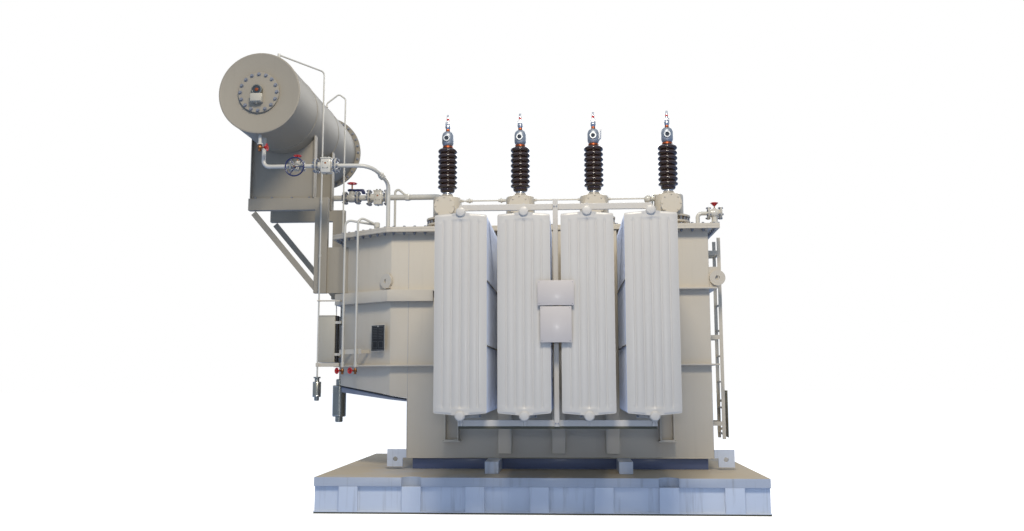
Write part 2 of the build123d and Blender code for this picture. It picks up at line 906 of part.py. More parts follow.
def insulator(height, foot, core, shed, count):
    """Turned porcelain: a foot, sheds that slope down to their tips, and a core between them."""
    end = height * PORCELAIN_FOOT_SHARE
    step = (height - 2 * end) / count
    rows = [(foot, 0), (core, end)]
    for i in range(count):
        base = end + i * step
        rows += [(shed, base + SHED_TIP_SHARE * step), (core, base + step)]
    return turned(*rows, (foot, height))


def hv_head(x):
    """The cast head on the porcelain: sight port in front, collar, terminal clamp and stud."""
    head = turned(
        (HEAD_NECK_R, 0),
        (HEAD_R, HEAD_CHAMFER),
        (HEAD_R, HEAD_H - 2 * HEAD_CHAMFER),
        (HEAD_NECK_R, HEAD_H - HEAD_CHAMFER / 2),
        (COLLAR_R, HEAD_H),
        (COLLAR_R, HEAD_H + COLLAR_H),
    )
    head += bar_y(0, -PORT_OUT, 0, PORT_RISE, PORT_R)
    clamp = HEAD_H + COLLAR_H
    head += block(-CLAMP_W / 2, CLAMP_W / 2, -CLAMP_D / 2, CLAMP_D / 2, clamp, clamp + CLAMP_H)
    head += upright(0, 0, clamp + CLAMP_H, clamp + CLAMP_H + STUD_H, STUD_R)
    return Pos(x, HV_Y, PORCELAIN_TOP) * head


def lv_bushing(x):
    """A small bushing in one piece with its flange and terminal."""
    base = LV_FLANGE_T + LV_SEAT_H
    top = base + LV_PORCELAIN_H
    bushing = upright(0, 0, 0, LV_FLANGE_T, LV_FLANGE_R) + upright(0, 0, LV_FLANGE_T, base, LV_SEAT_R)
    bushing += Pos(0, 0, base) * insulator(LV_PORCELAIN_H, LV_FOOT_R, LV_CORE_R, LV_SHED_R, LV_SHEDS)
    bushing += upright(0, 0, top, top + LV_CAP_H, LV_CAP_R)
    bushing += upright(0, 0, top + LV_CAP_H, top + LV_CAP_H + LV_STUD_H, STUD_R)
    return Pos(x, LV_Y, COVER_TOP) * bushing


def tap_changer_head():
    """The tap changer's flange and domed lid on the cover."""
    dome = TAP_HEAD_T + TAP_DOME_H
    head = turned(
        (TAP_HEAD_R, 0),
        (TAP_HEAD_R, TAP_HEAD_T),
        (TAP_DOME_R, TAP_HEAD_T),
        (TAP_DOME_R, dome - TAP_TOP_H),
        (TAP_TOP_R, dome),
    )
    return Pos(LEFT - TAP_HEAD_IN, TANK_Y, COVER_TOP) * head


def conservator_shell():
    """The lying drum with two stubs on top."""
    shell = bar_y(CON_X, CON_FRONT, CON_REAR, CON_Z, CON_R)
    for y in (CON_FRONT + STUB_FRONT_IN, CON_REAR - STUB_REAR_IN):
        shell += upright(CON_X, y, CON_Z, CON_Z + CON_R + STUB_H, STUB_R)
    return shell


def conservator_covers():
    cover = bar_y(CON_X, CON_FRONT - MANHOLE_T, CON_FRONT, CON_Z, MANHOLE_R)
    return [cover, bar_y(CON_X, CON_REAR, CON_REAR + REAR_FLANGE_T, CON_Z, REAR_FLANGE_R)]


def level_gauge():
    """A round dial on the front cover with a box under it."""
    x = CON_X - GAUGE_SIDE
    y = CON_FRONT - MANHOLE_T
    dial = bar_y(x, y - GAUGE_T, y, CON_Z + GAUGE_RISE, GAUGE_R)
    low = CON_Z - GAUGE_BOX_DROP
    half = GAUGE_BOX_W / 2
    return dial + block(x - half, x + half, y - GAUGE_BOX_T, y, low - GAUGE_BOX_H / 2, low + GAUGE_BOX_H / 2)


def support_frame():
    """The front bracket of the conservator: arm, post, brace and gusset."""
    middle = TANK_Y - SUPPORT_SPREAD
    y0 = middle - CHANNEL_D / 2
    y1 = middle + CHANNEL_D / 2
    arm_low = ARM_TOP - ARM_H
    arm = block(ARM_X0, POST_X1, y0, y1, arm_low, ARM_TOP)
    post = block(POST_X0, POST_X1, y0, y1, POST_FOOT, arm_low)
    start = (ARM_X0 + BRACE_TOP_IN, arm_low - BRACE_TOP_DROP)
    foot = (POST_X0 + BRACE_FOOT_IN, POST_FOOT + BRACE_FOOT_RISE)
    brace = strut(*start, *foot, middle - BRACE_T / 2, middle + BRACE_T / 2, BRACE_W)
    thin = GUSSET_T / 2
    gusset = block(POST_X1, LEFT - END_BEND - GUSSET_IN, middle - thin, middle + thin, POST_FOOT, TANK_Z1 - GUSSET_DROP)
    return arm + post + brace + (gusset - plan_plate(0, TANK_Z0, TANK_Z1))


def saddle():
    """A plate cut to the conservator's curve, with stiffening edges."""
    y = TANK_Y - SUPPORT_SPREAD
    x0 = CON_X - SADDLE_HALF
    x1 = CON_X + SADDLE_HALF
    plate = block(x0, x1, y - SADDLE_T / 2, y + SADDLE_T / 2, ARM_TOP, CON_Z)
    for x in (x0, x1 - SADDLE_T):
        plate += block(x, x + SADDLE_T, y - SADDLE_EDGE, y + SADDLE_EDGE, ARM_TOP, CON_Z)
    return plate - conservator_bore(y)


def conservator_bore(y):
    """The drum's cylinder near one place, to cut what meets it."""
    return bar_y(CON_X, y - CON_R / 2, y + CON_R / 2, CON_Z, CON_R)


def main_pipe():
    """Three lengths from the conservator to the tank cover, the last with its branch."""
    run = [(CON_X, MAIN_Y, INSIDE_CON), (CON_X, MAIN_Y, MAIN_Z), (VALVE_X - VALVE_HALF, MAIN_Y, MAIN_Z)]
    first = pipe(run, MAIN_R, MAIN_BEND) - conservator_bore(MAIN_Y)
    second = bar_x(VALVE_X + VALVE_HALF, RELAY_X - RELAY_HALF, MAIN_Y, MAIN_Z, MAIN_R)
    end = hv_places()[0] - MAIN_DROP_IN
    run = [(RELAY_X + RELAY_HALF, MAIN_Y, MAIN_Z), (end, MAIN_Y, MAIN_Z), (end, MAIN_Y, COVER_TOP)]
    third = pipe(run, MAIN_R, MAIN_BEND)
    x = LEFT - BRANCH_IN
    riser = [(x, MAIN_Y, COVER_TOP), (x, MAIN_Y, MAIN_Z + BRANCH_RISE), (x + BRANCH_JOIN, MAIN_Y, MAIN_Z)]
    return first, second, third + pipe(riser, BRANCH_R, BRANCH_BEND)


def valve_body(half, flange_r, body_r):
    """A flanged valve lying along X."""
    body = bar_x(-half, half, 0, 0, body_r)
    for x in (-half, half - VALVE_FLANGE_T):
        body += bar_x(x, x + VALVE_FLANGE_T, 0, 0, flange_r)
    return body


def main_valve():
    """The valve in the main pipe; its lever turns on the bonnet's upper part."""
    bonnet = turned(
        (COLLAR_STEP_R, 0), (COLLAR_STEP_R, COLLAR_STEP_H), (BONNET_R, COLLAR_STEP_H), (BONNET_R, BONNET_H)
    )
    body = valve_body(VALVE_HALF, VALVE_FLANGE_R, VALVE_BODY_R) + bonnet
    body -= socket(0, 0, STEM_DEPTH - STEM_START, BONNET_H + OVERRUN, MAIN_WHEEL[2])
    return Pos(VALVE_X, MAIN_Y, MAIN_Z) * body


def tap_valve():
    """The valve in the tap changer's pipe, with a second bonnet to the front."""
    body = valve_body(TAP_VALVE_HALF, TAP_VALVE_FLANGE_R, TAP_VALVE_BODY_R)
    body += upright(0, 0, 0, TAP_BONNET_H, TAP_BONNET_R)
    body += bar_y(0, -TAP_RING_OUT, 0, -TAP_RING_DROP, TAP_BONNET_R)
    body -= socket(0, 0, STEM_DEPTH - STEM_START, TAP_BONNET_H + OVERRUN, TAP_WHEEL[2])
    depth = TAP_RING_OUT / 2 - STEM_START
    body -= bar_y(0, -TAP_RING_OUT - OVERRUN, -depth, -TAP_RING_DROP, RING_WHEEL[2] + STEM_FIT)
    return Pos(TAP_VALVE_X, TAP_Y, TAP_Z) * body


def relay(half, flange_r, barrel_r, width, low, high):
    """A gas relay along X: a box with its lid between two flanges."""
    body = bar_x(-half, half, 0, 0, barrel_r)
    for x in (-half, half - RELAY_FLANGE_T):
        body += bar_x(x, x + RELAY_FLANGE_T, 0, 0, flange_r)
    return body + block(-width / 2, width / 2, -width / 2, width / 2, -low, high)


def gas_relays():
    main = relay(RELAY_HALF, RELAY_FLANGE_R, RELAY_BARREL_R, RELAY_W, RELAY_LOW, RELAY_HIGH)
    high = TAP_RELAY_HIGH
    tap = relay(TAP_RELAY_HALF, TAP_RELAY_FLANGE_R, TAP_RELAY_BARREL_R, TAP_RELAY_W, high, high)
    return Pos(RELAY_X, MAIN_Y, MAIN_Z) * main, Pos(TAP_RELAY_X, TAP_Y, TAP_Z) * tap


def tap_pipe():
    """The thinner pipe from the conservator's front chamber to the tap changer."""
    run = [(CON_X, TAP_Y, INSIDE_CON), (CON_X, TAP_Y, TAP_Z), (TAP_VALVE_X - TAP_VALVE_HALF, TAP_Y, TAP_Z)]
    first = pipe(run, TAP_R, TAP_BEND) - conservator_bore(TAP_Y)
    second = bar_x(TAP_VALVE_X + TAP_VALVE_HALF, TAP_RELAY_X - TAP_RELAY_HALF, TAP_Y, TAP_Z, TAP_R)
    drop = (LEFT - TAP_DROP_IN, FRONT + TAP_DROP_SIDE)
    last = [
        (TAP_RELAY_X + TAP_RELAY_HALF, TAP_Y, TAP_Z),
        (CON_X + TAP_TURN_OUT, TAP_Y, TAP_Z),
        (*drop, COVER_TOP + TAP_DROP_RISE),
        (*drop, COVER_TOP),
    ]
    return first, second, pipe(last, TAP_R, TAP_END_BEND)


def handwheel(radius, rim, stem_r, stem):
    """A wheel on its stem, the stem's foot at the origin and the wheel on top."""
    ring = RegularPolygon(radius, RIM_SIDES) - RegularPolygon(radius - rim, RIM_SIDES)
    wheel = Pos(0, 0, stem - rim / 2) * extrude(ring, amount=rim)
    for turn in (0, 60, 120):
        wheel += Pos(0, 0, stem) * Rotation(0, 0, turn) * Box(2 * radius - rim, rim / 2, rim / 2)
    hub = Pos(0, 0, stem - rim * 0.8) * extrude(RegularPolygon(stem_r * 1.8, STEM_SIDES), amount=rim * 1.6)
    return wheel + hub + extrude(RegularPolygon(stem_r, STEM_SIDES), amount=stem)


def main_valve_lever():
    """A lever on a hub round the bonnet, its grip bent down past the valve's flange."""
    z0 = COLLAR_STEP_H + STEM_START
    hub = upright(0, 0, z0, z0 + LEVER_HUB_H, LEVER_HUB_R)
    top = z0 + LEVER_HUB_H
    half = LEVER_W / 2
    low = top - LEVER_T
    lever = hub + block(LEVER_HUB_R / 2, LEVER_REACH, -half, half, low, top)
    lever += block(LEVER_BEND, LEVER_REACH, -half, half, low - LEVER_DROP, top)
    lever -= socket(0, 0, 0, top + OVERRUN, BONNET_R)
    return Pos(VALVE_X, MAIN_Y, MAIN_Z) * lever


def gas_pipe():
    """Thin pipes between the housings, with two valves and a cone at the last housing."""
    places = hv_places()
    half = TURRET_W / 2
    z = TURRET_SHOULDER - GAS_DROP
    runs = []
    for left, right in zip(places, places[1:]):
        runs.append(bar_x(left + half, right - half, HV_Y, z, GAS_R))
    for x in (places[0] + half + GAS_VALVES_IN[0], places[1] - half - GAS_VALVES_IN[1]):
        runs[0] += Pos(x, HV_Y, z) * Box(*GAS_VALVE)
    cone = turned((GAS_R, 0), (GAS_CONE_R, GAS_CONE_L))
    runs[-1] += Pos(places[-1] - half - GAS_CONE_L, HV_Y, z) * TO_RIGHT * cone
    return runs


def conservator_drain():
    """A drain pipe and valve under the conservator's front end."""
    y = CON_DRAIN_Y
    drain = upright(CON_X, y, CON_Z - CON_DRAIN_END, INSIDE_CON, CON_DRAIN_R) - conservator_bore(y)
    drain += Pos(CON_X, y, CON_DRAIN_Z) * Box(CON_DRAIN_W, CON_DRAIN_W, CON_DRAIN_H)
    return drain - bar_x(CON_X, CON_X + CON_DRAIN_W, y, CON_DRAIN_Z, DRAIN_WHEEL[2] + STEM_FIT)


def breather_pipes():
    """Two thin pipes from the conservator down to the breathers."""
    x = CON_X + RISER_SIDE
    y = CON_FRONT + RISER_IN
    riser = upright(x, y, CON_Z + RISER_SEAT, CON_Z + RISER_RISE, RISER_R) - conservator_bore(y)
    first = [
        (x, y, CON_Z + FIRST_TOP_RISE),
        (FIRST_X, FIRST_Y, CON_Z + FIRST_END_RISE),
        (FIRST_X, FIRST_Y, FIRST_Z),
    ]
    second = [
        (CON_X + SECOND_START, SECOND_Y, CON_Z + SECOND_START_RISE),
        (SECOND_X - SECOND_PEAK_IN, SECOND_Y, CON_Z + SECOND_PEAK_RISE),
        (SECOND_X, SECOND_Y, CON_Z + SECOND_END_RISE),
        (SECOND_X, SECOND_Y, SECOND_Z),
    ]
    leg = pipe(second, THIN_R, SECOND_BEND) - conservator_bore(SECOND_Y)
    return riser + pipe(first, THIN_R, THIN_BEND), leg


def breathers():
    """Silica gel breathers hanging on their pipes."""
    small = turned(
        (SMALL_NECK_R, -SMALL_H),
        (SMALL_NECK_R, -SMALL_BODY_END),
        (SMALL_BODY_R, -SMALL_BODY_END),
        (SMALL_BODY_R, -SMALL_NECK_H),
        (SMALL_NECK_R, -SMALL_NECK_H),
        (SMALL_NECK_R, -SMALL_CAP_H),
        (SMALL_CAP_R, -SMALL_CAP_H),
        (SMALL_CAP_R, 0),
    )
    large = turned(
        (LARGE_END_R, -LARGE_H),
        (LARGE_END_R, -LARGE_BODY_END),
        (LARGE_BODY_R, -LARGE_BODY_END),
        (LARGE_BODY_R, -LARGE_NECK_H),
        (LARGE_NECK_R, -LARGE_NECK_H),
        (LARGE_NECK_R, 0),
    )
    return Pos(FIRST_X, FIRST_Y, FIRST_Z) * small, Pos(SECOND_X, SECOND_Y, SECOND_Z) * large


def pipe_brackets():
    """Flat bars from the first breather's pipe to the ribs round the end wall."""
    wall = TANK_Y - END_W / 2
    brackets = []
    for rise, height in zip(BRACKET_RISES, BRACKET_HEIGHTS):
        z = TANK_Z0 + rise
        grip = block(FIRST_X - BRACKET_GRIP, FIRST_X + BRACKET_GRIP, FIRST_Y - BRACKET_GRIP, FIRST_Y + BRACKET_GRIP, z, z + height)
        bar = block(FIRST_X, END_X + BRACKET_T, FIRST_Y, FIRST_Y + BRACKET_T, z, z + height)
        bar += block(END_X, END_X + BRACKET_T, FIRST_Y, wall + BRACKET_T, z, z + height)
        hole = upright(FIRST_X, FIRST_Y, z - OVERRUN, z + height + OVERRUN, THIN_R + REST_FIT)
        brackets.append(grip + bar - plan_plate(RIB_OUT + REST_FIT, TANK_Z0, TANK_Z1) - hole)
    return brackets


def drain_tubes():
    """Two tubes with valves, down past the bevelled wall from one fitting on the cover."""
    fitting = turned(
        (FITTING_BASE_R, 0),
        (FITTING_BASE_R, FITTING_BASE_T),
        (FITTING_R, FITTING_BASE_T),
        (FITTING_R, FITTING_H),
    )
    tubes = Pos(FITTING_ALONG, FITTING_IN, COVER_TOP) * fitting
    end = (FITTING_ALONG, FITTING_IN, COVER_TOP + FITTING_PORT)
    half = DRAIN_VALVE_W / 2
    for along, top in zip(DRAIN_ALONG, DRAIN_TOPS):
        foot = (along, -DRAIN_OUT, TANK_Z0 + DRAIN_FOOT_RISE)
        tubes += pipe([foot, (along, -DRAIN_OUT, COVER_TOP + top), end], DRAIN_R, DRAIN_BEND)
        valve = Box(DRAIN_VALVE_W, DRAIN_VALVE_W, DRAIN_VALVE_H)
        valve -= bar_y(0, -DRAIN_VALVE_W, 0, 0, TUBE_WHEEL[2] + STEM_FIT)
        tubes += Pos(along, -DRAIN_OUT, DRAIN_VALVE_Z) * valve
    return on_bevel(0, 0, 0) * tubes


def clamp_bar():
    """A flat bar that holds both tubes to the bevelled wall."""
    front = DRAIN_OUT - DRAIN_R - REST_FIT
    low = TANK_Z0 + CLAMP_RISE - CLAMP_BAR_H / 2
    bar = block(CLAMP_FROM, CLAMP_TO, -front, -front + CLAMP_T, low, low + CLAMP_BAR_H)
    low = TANK_Z0 + CLAMP_RISE - CLAMP_ARM_H / 2
    for x in (CLAMP_FROM + CLAMP_ARM_IN, CLAMP_TO - CLAMP_ARM_IN):
        bar += block(x, x + CLAMP_ARM_T, -front, 0, low, low + CLAMP_ARM_H)
    return on_bevel(0, 0, 0) * bar


def control_cabinet():
    """A cabinet on four short arms in front of the end wall."""
    x1 = END_X - CABINET_OUT
    y0 = TANK_Y + CABINET_SIDE
    z0 = TANK_Z0 + CABINET_RISE
    box = block(x1 - CABINET_D, x1, y0, y0 + CABINET_W, z0, z0 + CABINET_H)
    half = CABINET_ARM / 2
    for y in (y0 + CABINET_ARM_IN, y0 + CABINET_W - CABINET_ARM_IN):
        for z in (z0 + CABINET_ARM_IN, z0 + CABINET_H - CABINET_ARM_IN):
            box += block(x1, END_X, y - half, y + half, z - half, z + half)
    return box


def conduits():
    """Two upright conduits in the gap between the cabinet and the end wall."""
    z0 = TANK_Z0 + CABINET_RISE + CONDUIT_TRIM
    z1 = z0 + CABINET_H - 2 * CONDUIT_TRIM
    return [upright(END_X - CONDUIT_OUT, TANK_Y + side, z0, z1, CONDUIT_R) for side in CONDUIT_SIDES]


def nameplate():
    """A bare plate on two arms, parallel to the bevelled wall."""
    plate = Pos(0, PLATE_T / 2, 0) * Box(PLATE_W, PLATE_T, PLATE_H)
    for x in (-PLATE_ARM_X, PLATE_ARM_X):
        half = PLATE_ARM_W / 2
        plate += block(x - half, x + half, 0, PLATE_OUT, -PLATE_ARM_H / 2, PLATE_ARM_H / 2)
    return on_bevel(PLATE_ALONG, PLATE_OUT, TANK_Z0 + PLATE_RISE) * plate


def guard_hinge():
    """Two lugs with pins on the far rail that the guard swings on."""
    lugs = []
    back = LADDER_FAR + LADDER_T / 2
    half = HINGE_PLATE_T
    for rise in HINGE_RISES:
        z = LADDER_Z0 + rise
        lug = block(LADDER_X - LADDER_D / 2, GUARD_X + half, back, back + HINGE_LUG_T, z, z + HINGE_LUG_H)
        lug += block(GUARD_X - half, GUARD_X + half, back, GUARD_Y + half, z, z + HINGE_PLATE_T)
        lugs.append(lug + upright(GUARD_X, GUARD_Y, z, z + PIN_H, PIN_R))
    return lugs


def ladder():
    """Two rails with rungs between them, held off the end wall."""
    half = LADDER_D / 2
    thin = LADDER_T / 2
    frame = Part()
    for y in (LADDER_NEAR, LADDER_FAR):
        frame += block(LADDER_X - half, LADDER_X + half, y - thin, y + thin, LADDER_Z0, LADDER_Z1)
        for z in (LADDER_Z0 + STAY_IN, (LADDER_Z0 + LADDER_Z1) / 2, LADDER_Z1 - STAY_IN):
            frame += block(RIGHT, LADDER_X - half, y - thin, y + thin, z - STAY_H / 2, z + STAY_H / 2)
    z = LADDER_Z0 + RUNG_RISE
    while z < LADDER_Z1:
        frame += Pos(LADDER_X, (LADDER_NEAR + LADDER_FAR) / 2, z) * Box(RUNG_T, LADDER_FAR - LADDER_NEAR, RUNG_T)
        z += RUNG_STEP
    for lug in guard_hinge():
        frame += lug
    return frame


def ladder_guard():
    """A plate that closes the ladder's foot, with two knuckles on the hinge pins."""
    thin = GUARD_T / 2
    z0 = LADDER_Z0 + GUARD_RISE
    plate = block(GUARD_X - thin, GUARD_X + thin, GUARD_Y - GUARD_IN - GUARD_W, GUARD_Y - GUARD_IN, z0, z0 + GUARD_H)
    for rise in HINGE_RISES:
        z = LADDER_Z0 + rise
        wide = KNUCKLE_GAP
        plate -= block(GUARD_X - wide, GUARD_X + wide, GUARD_Y - SLOT_W, GUARD_Y + wide, z - STEM_START, z + SLOT_END)
        top = z + KNUCKLE_TO
        knuckle = upright(GUARD_X, GUARD_Y, z + KNUCKLE_FROM, top, KNUCKLE_R)
        knuckle += block(GUARD_X - thin, GUARD_X + thin, GUARD_Y - wide, GUARD_Y, top - KNUCKLE_WEB, top)
        plate += knuckle - socket(GUARD_X, GUARD_Y, z, z + PIN_H + OVERRUN, PIN_R)
    return plate


def vent_valve():
    """A pipe from the cover and a valve at the cover's right end."""
    start = -VENT_IN
    run = pipe([(start, 0, -VENT_RISE), (start, 0, 0), (-VENT_HALF, 0, 0)], VENT_R, VENT_BEND)
    body = valve_body(VENT_HALF, VENT_FLANGE_R, VENT_BODY_R)
    body += upright(0, 0, 0, VENT_BONNET_H, VENT_R) + upright(0, 0, -VENT_LEG_H, 0, VENT_LEG_R)
    body += upright(0, 0, -VENT_FOOT_DROP, VENT_FOOT_T - VENT_FOOT_DROP, VENT_FOOT_R)
    body -= socket(0, 0, STEM_DEPTH - STEM_START, VENT_BONNET_H + OVERRUN, VENT_WHEEL[2])
    return Pos(VENT_X, VENT_Y, VENT_Z) * (run + body)


def build_structure():
    stiffeners = wall_stiffeners()
    save("plinth_deck", plinth_deck())
    save("plinth_side_beams", plinth_side_beam(), mirror(plinth_side_beam(), about=Plane.XZ))
    save("plinth_cross_beams", *plinth_cross_beams())
    save("base_beams", base_beams())
    save("tank_shell", tank_shell())
    save("tank_rim", plan_plate(OVERHANG, TANK_Z1, TANK_Z1 + RIM_T))
    save("tank_cover", plan_plate(OVERHANG, TANK_Z1 + RIM_T, COVER_TOP))
    save("tank_ribs", *tank_ribs(stiffeners))
    save("wall_stiffeners", *stiffeners)
    jacks = [bracket for x in (TANK_X - JACK_REACH, TANK_X + JACK_REACH) for bracket in both(jacking_bracket(x))]
    save("jacking_brackets", *jacks)
    right, left = lifting_lugs()
    save("lifting_lugs", *right, *left)
    save("pulling_lugs", *both(pulling_lug(LEFT, -1)), *both(pulling_lug(RIGHT, 1)))


def build_cooling():
    valves = []
    for i, x in enumerate(spread(TANK_X, RAD_PITCH, RAD_COUNT), 1):
        bank = radiator(x)
        save(f"radiator_front_{i}", bank)
        save(f"radiator_rear_{i}", mirrored(bank))
        for z in (HEADER_Z0, HEADER_Z1):
            valves += both(radiator_valve(x, z))
    save("radiator_valves", *valves)
    save("tie_frames", *both(tie_frame()))
    save("sign_boards", *sign_boards())


def build_cover_fittings():
    places = hv_places()
    save("turrets", *[turret(x) for x in places])
    porcelain = insulator(PORCELAIN_H, FOOT_R, CORE_R, SHED_R, SHEDS)
    save("hv_insulators", *[Pos(x, HV_Y, PORCELAIN_Z0) * porcelain for x in places])
    save("hv_caps", *[hv_head(x) for x in places])
    save("lv_bushings", *[lv_bushing(x) for x in spread(LV_X, LV_PITCH, LV_COUNT)])
    save("tap_changer_head", tap_changer_head())
    save("gas_pipe", *gas_pipe())
    save("vent_valve", vent_valve())


def build_conservator():
    save("conservator_shell", conservator_shell())
    save("conservator_covers", *conservator_covers())
    save("level_gauge", level_gauge())
    save("support_frames", *both(support_frame()))
    save("saddles", *both(saddle()))
    save("conservator_drain", conservator_drain())
    save("main_pipe", *main_pipe())
    save("tap_pipe", *tap_pipe())
    save("pipe_valves", main_valve(), tap_valve())
    save("gas_relays", *gas_relays())


def build_end_fittings():
    save("breather_pipes", *breather_pipes())
    save("breathers", *breathers())
    save("pipe_brackets", *pipe_brackets())
    save("drain_tubes", drain_tubes())
    save("clamp_bar", clamp_bar())
    save("control_cabinet", control_cabinet())
    save("conduits", *conduits())
    save("nameplate", nameplate())
    save("ladder", ladder())
    save("ladder_guard", ladder_guard())


def build_wheels():
    """Every wheel turns about its own stem, and the lever about the main valve's bonnet."""
    save("main_valve_wheel", Pos(VALVE_X, MAIN_Y, MAIN_Z + STEM_DEPTH) * handwheel(*MAIN_WHEEL))
    save("main_valve_lever", main_valve_lever())
    save("tap_valve_wheel", Pos(TAP_VALVE_X, TAP_Y, TAP_Z + STEM_DEPTH) * handwheel(*TAP_WHEEL))
    foot = Pos(TAP_VALVE_X, TAP_Y - TAP_RING_OUT / 2, TAP_Z - TAP_RING_DROP)
    save("tap_ring_wheel", foot * TO_FRONT * handwheel(*RING_WHEEL))
    foot = Pos(CON_X + STEM_START, CON_DRAIN_Y, CON_DRAIN_Z)
    save("conservator_drain_wheel", foot * TO_RIGHT * handwheel(*DRAIN_WHEEL))
    for i, along in enumerate(DRAIN_ALONG, 1):
        foot = on_bevel(along, DRAIN_OUT + STEM_START, DRAIN_VALVE_Z)
        save(f"drain_wheel_{i}", foot * TO_FRONT * handwheel(*TUBE_WHEEL))
    save("vent_valve_wheel", Pos(VENT_X, VENT_Y, VENT_Z + STEM_DEPTH) * handwheel(*VENT_WHEEL))


os.makedirs("parts", exist_ok=True)
build_structure()
build_cooling()
build_cover_fittings()
build_conservator()
build_end_fittings()
build_wheels()
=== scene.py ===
"""Finishes and details of an oil-filled power transformer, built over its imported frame."""

import math

import bmesh
import bpy
from mathutils import Matrix, Vector


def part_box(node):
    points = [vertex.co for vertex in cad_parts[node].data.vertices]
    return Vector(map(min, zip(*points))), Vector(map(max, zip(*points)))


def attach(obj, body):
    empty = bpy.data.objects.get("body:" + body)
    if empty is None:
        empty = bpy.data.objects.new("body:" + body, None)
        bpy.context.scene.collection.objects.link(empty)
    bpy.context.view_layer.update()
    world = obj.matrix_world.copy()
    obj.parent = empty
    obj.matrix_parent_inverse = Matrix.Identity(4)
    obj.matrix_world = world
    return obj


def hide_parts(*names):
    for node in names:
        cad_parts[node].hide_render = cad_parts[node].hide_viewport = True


bl_info = {
    "name": "Power transformer",
    "version": (1, 0, 0),
    "blender": (4, 5, 0),
    "location": "View3D > Sidebar > Transformer",
    "description": "Builds the finishes, fittings and fasteners of an oil-filled power transformer",
    "category": "Object",
}

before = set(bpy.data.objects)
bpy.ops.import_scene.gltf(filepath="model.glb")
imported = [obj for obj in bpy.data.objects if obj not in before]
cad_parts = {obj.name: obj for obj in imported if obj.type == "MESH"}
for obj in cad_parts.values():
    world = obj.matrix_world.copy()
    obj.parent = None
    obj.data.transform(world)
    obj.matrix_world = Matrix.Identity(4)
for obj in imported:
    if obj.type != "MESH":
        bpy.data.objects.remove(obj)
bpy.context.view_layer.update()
BODY = "transformer"

TANK_MIDDLE = Vector((0.2, 0.19, 0))
TANK_FRONT = -0.675
TANK_LEFT = -1.55
TANK_RIGHT = 1.95
COVER_TOP = 3.175
RIM_LOW = 3.115
END_LEFT = -2.46
END_BEND = -1.76
END_HALF = 0.377
END_FLOOR = (1.32, 1.171)
RADIATOR_FACE = -2.374
HEADER_HEIGHTS = (1.041, 3.041)
SPACER_BARS = (1.719, 2.36)
BOARD_FACE = -2.414
CONSERVATOR = Vector((-3.222, 0.19, 4.69))
CONSERVATOR_R = 0.475
CONSERVATOR_HALF = 1.42
BUSHING_Y = -0.15
TURRET_TOP = 3.69
PORCELAIN_TOP = 4.278
HOUSING_AXIS = 3.48
GAS_PIPE = 3.598
MAIN_VALVE = (-2.59, 0.76, 3.84)
TAP_VALVE = (-2.82, -1.0, 3.87)
VENT_VALVE = (2.069, -0.45, 3.347)
DRAIN_VALVE = (-3.222, -1.15, 4.065)
SMALL_BREATHER = (-2.705, -0.35)
LARGE_BREATHER = (-2.59, 0.3)
MANHOLES = (-0.69, 0.95)

PANEL_MIDDLE = 2.041
PANEL_TOP = (3.0155, 3.038)
PANEL_SEAM = 0.0016
PANEL_SKIN = 0.0092
BOSS_R = 0.086

TO_RIGHT = Matrix.Rotation(math.pi / 2, 4, "Y")
TO_LEFT = Matrix.Rotation(-math.pi / 2, 4, "Y")
TO_FRONT = Matrix.Rotation(math.pi / 2, 4, "X")
TO_BACK = Matrix.Rotation(-math.pi / 2, 4, "X")
TO_FLOOR = Matrix.Rotation(math.pi, 4, "X")


def at(x, y, z):
    """A place in the object's frame."""
    return Matrix.Translation((x, y, z))


def spun(degrees, axis="Z"):
    """A turn about one axis."""
    return Matrix.Rotation(math.radians(degrees), 4, axis)


def chart(red, green, blue):
    """A colour from a paint chart, as light adds up."""
    return tuple(
        (c / 255 / 12.92) if c < 11 else ((c / 255 + 0.055) / 1.055) ** 2.4 for c in (red, green, blue)
    )


def on_bevel(along, out, z):
    """A place in front of the bevelled wall: X along it, -Y away from it."""
    turn = math.atan2(TANK_FRONT - TANK_MIDDLE.y + END_HALF, END_BEND - END_LEFT)
    return at(END_LEFT, TANK_MIDDLE.y - END_HALF, z) @ Matrix.Rotation(turn, 4, "Z") @ at(along, -out, 0)


def row_of(middle, pitch, count):
    """Evenly spaced places about a middle."""
    return [middle + (k - (count - 1) / 2) * pitch for k in range(count)]


def mirrored(place):
    """A place's twin on the other side of the tank."""
    flip = Matrix.Diagonal((1, -1, 1, 1))
    return at(0, 2 * TANK_MIDDLE.y, 0) @ flip @ place


SIDES = (Matrix(), mirrored(Matrix()))
HV_ROW = row_of(TANK_MIDDLE.x, 0.91, 4)
BANK_ROW = row_of(TANK_MIDDLE.x, 0.625, 4)


def paint_setting(name, description, *chart_values):
    """A setting that is a paint's colour."""
    return bpy.props.FloatVectorProperty(
        name=name, description=description, subtype="COLOR", default=chart(*chart_values)
    )


def length_setting(name, description, default, least, most):
    """A setting that is a length."""
    return bpy.props.FloatProperty(
        name=name, description=description, subtype="DISTANCE", default=default, min=least, max=most
    )


def count_setting(name, description, default, least, most):
    """A setting that counts something."""
    return bpy.props.IntProperty(name=name, description=description, default=default, min=least, max=most)


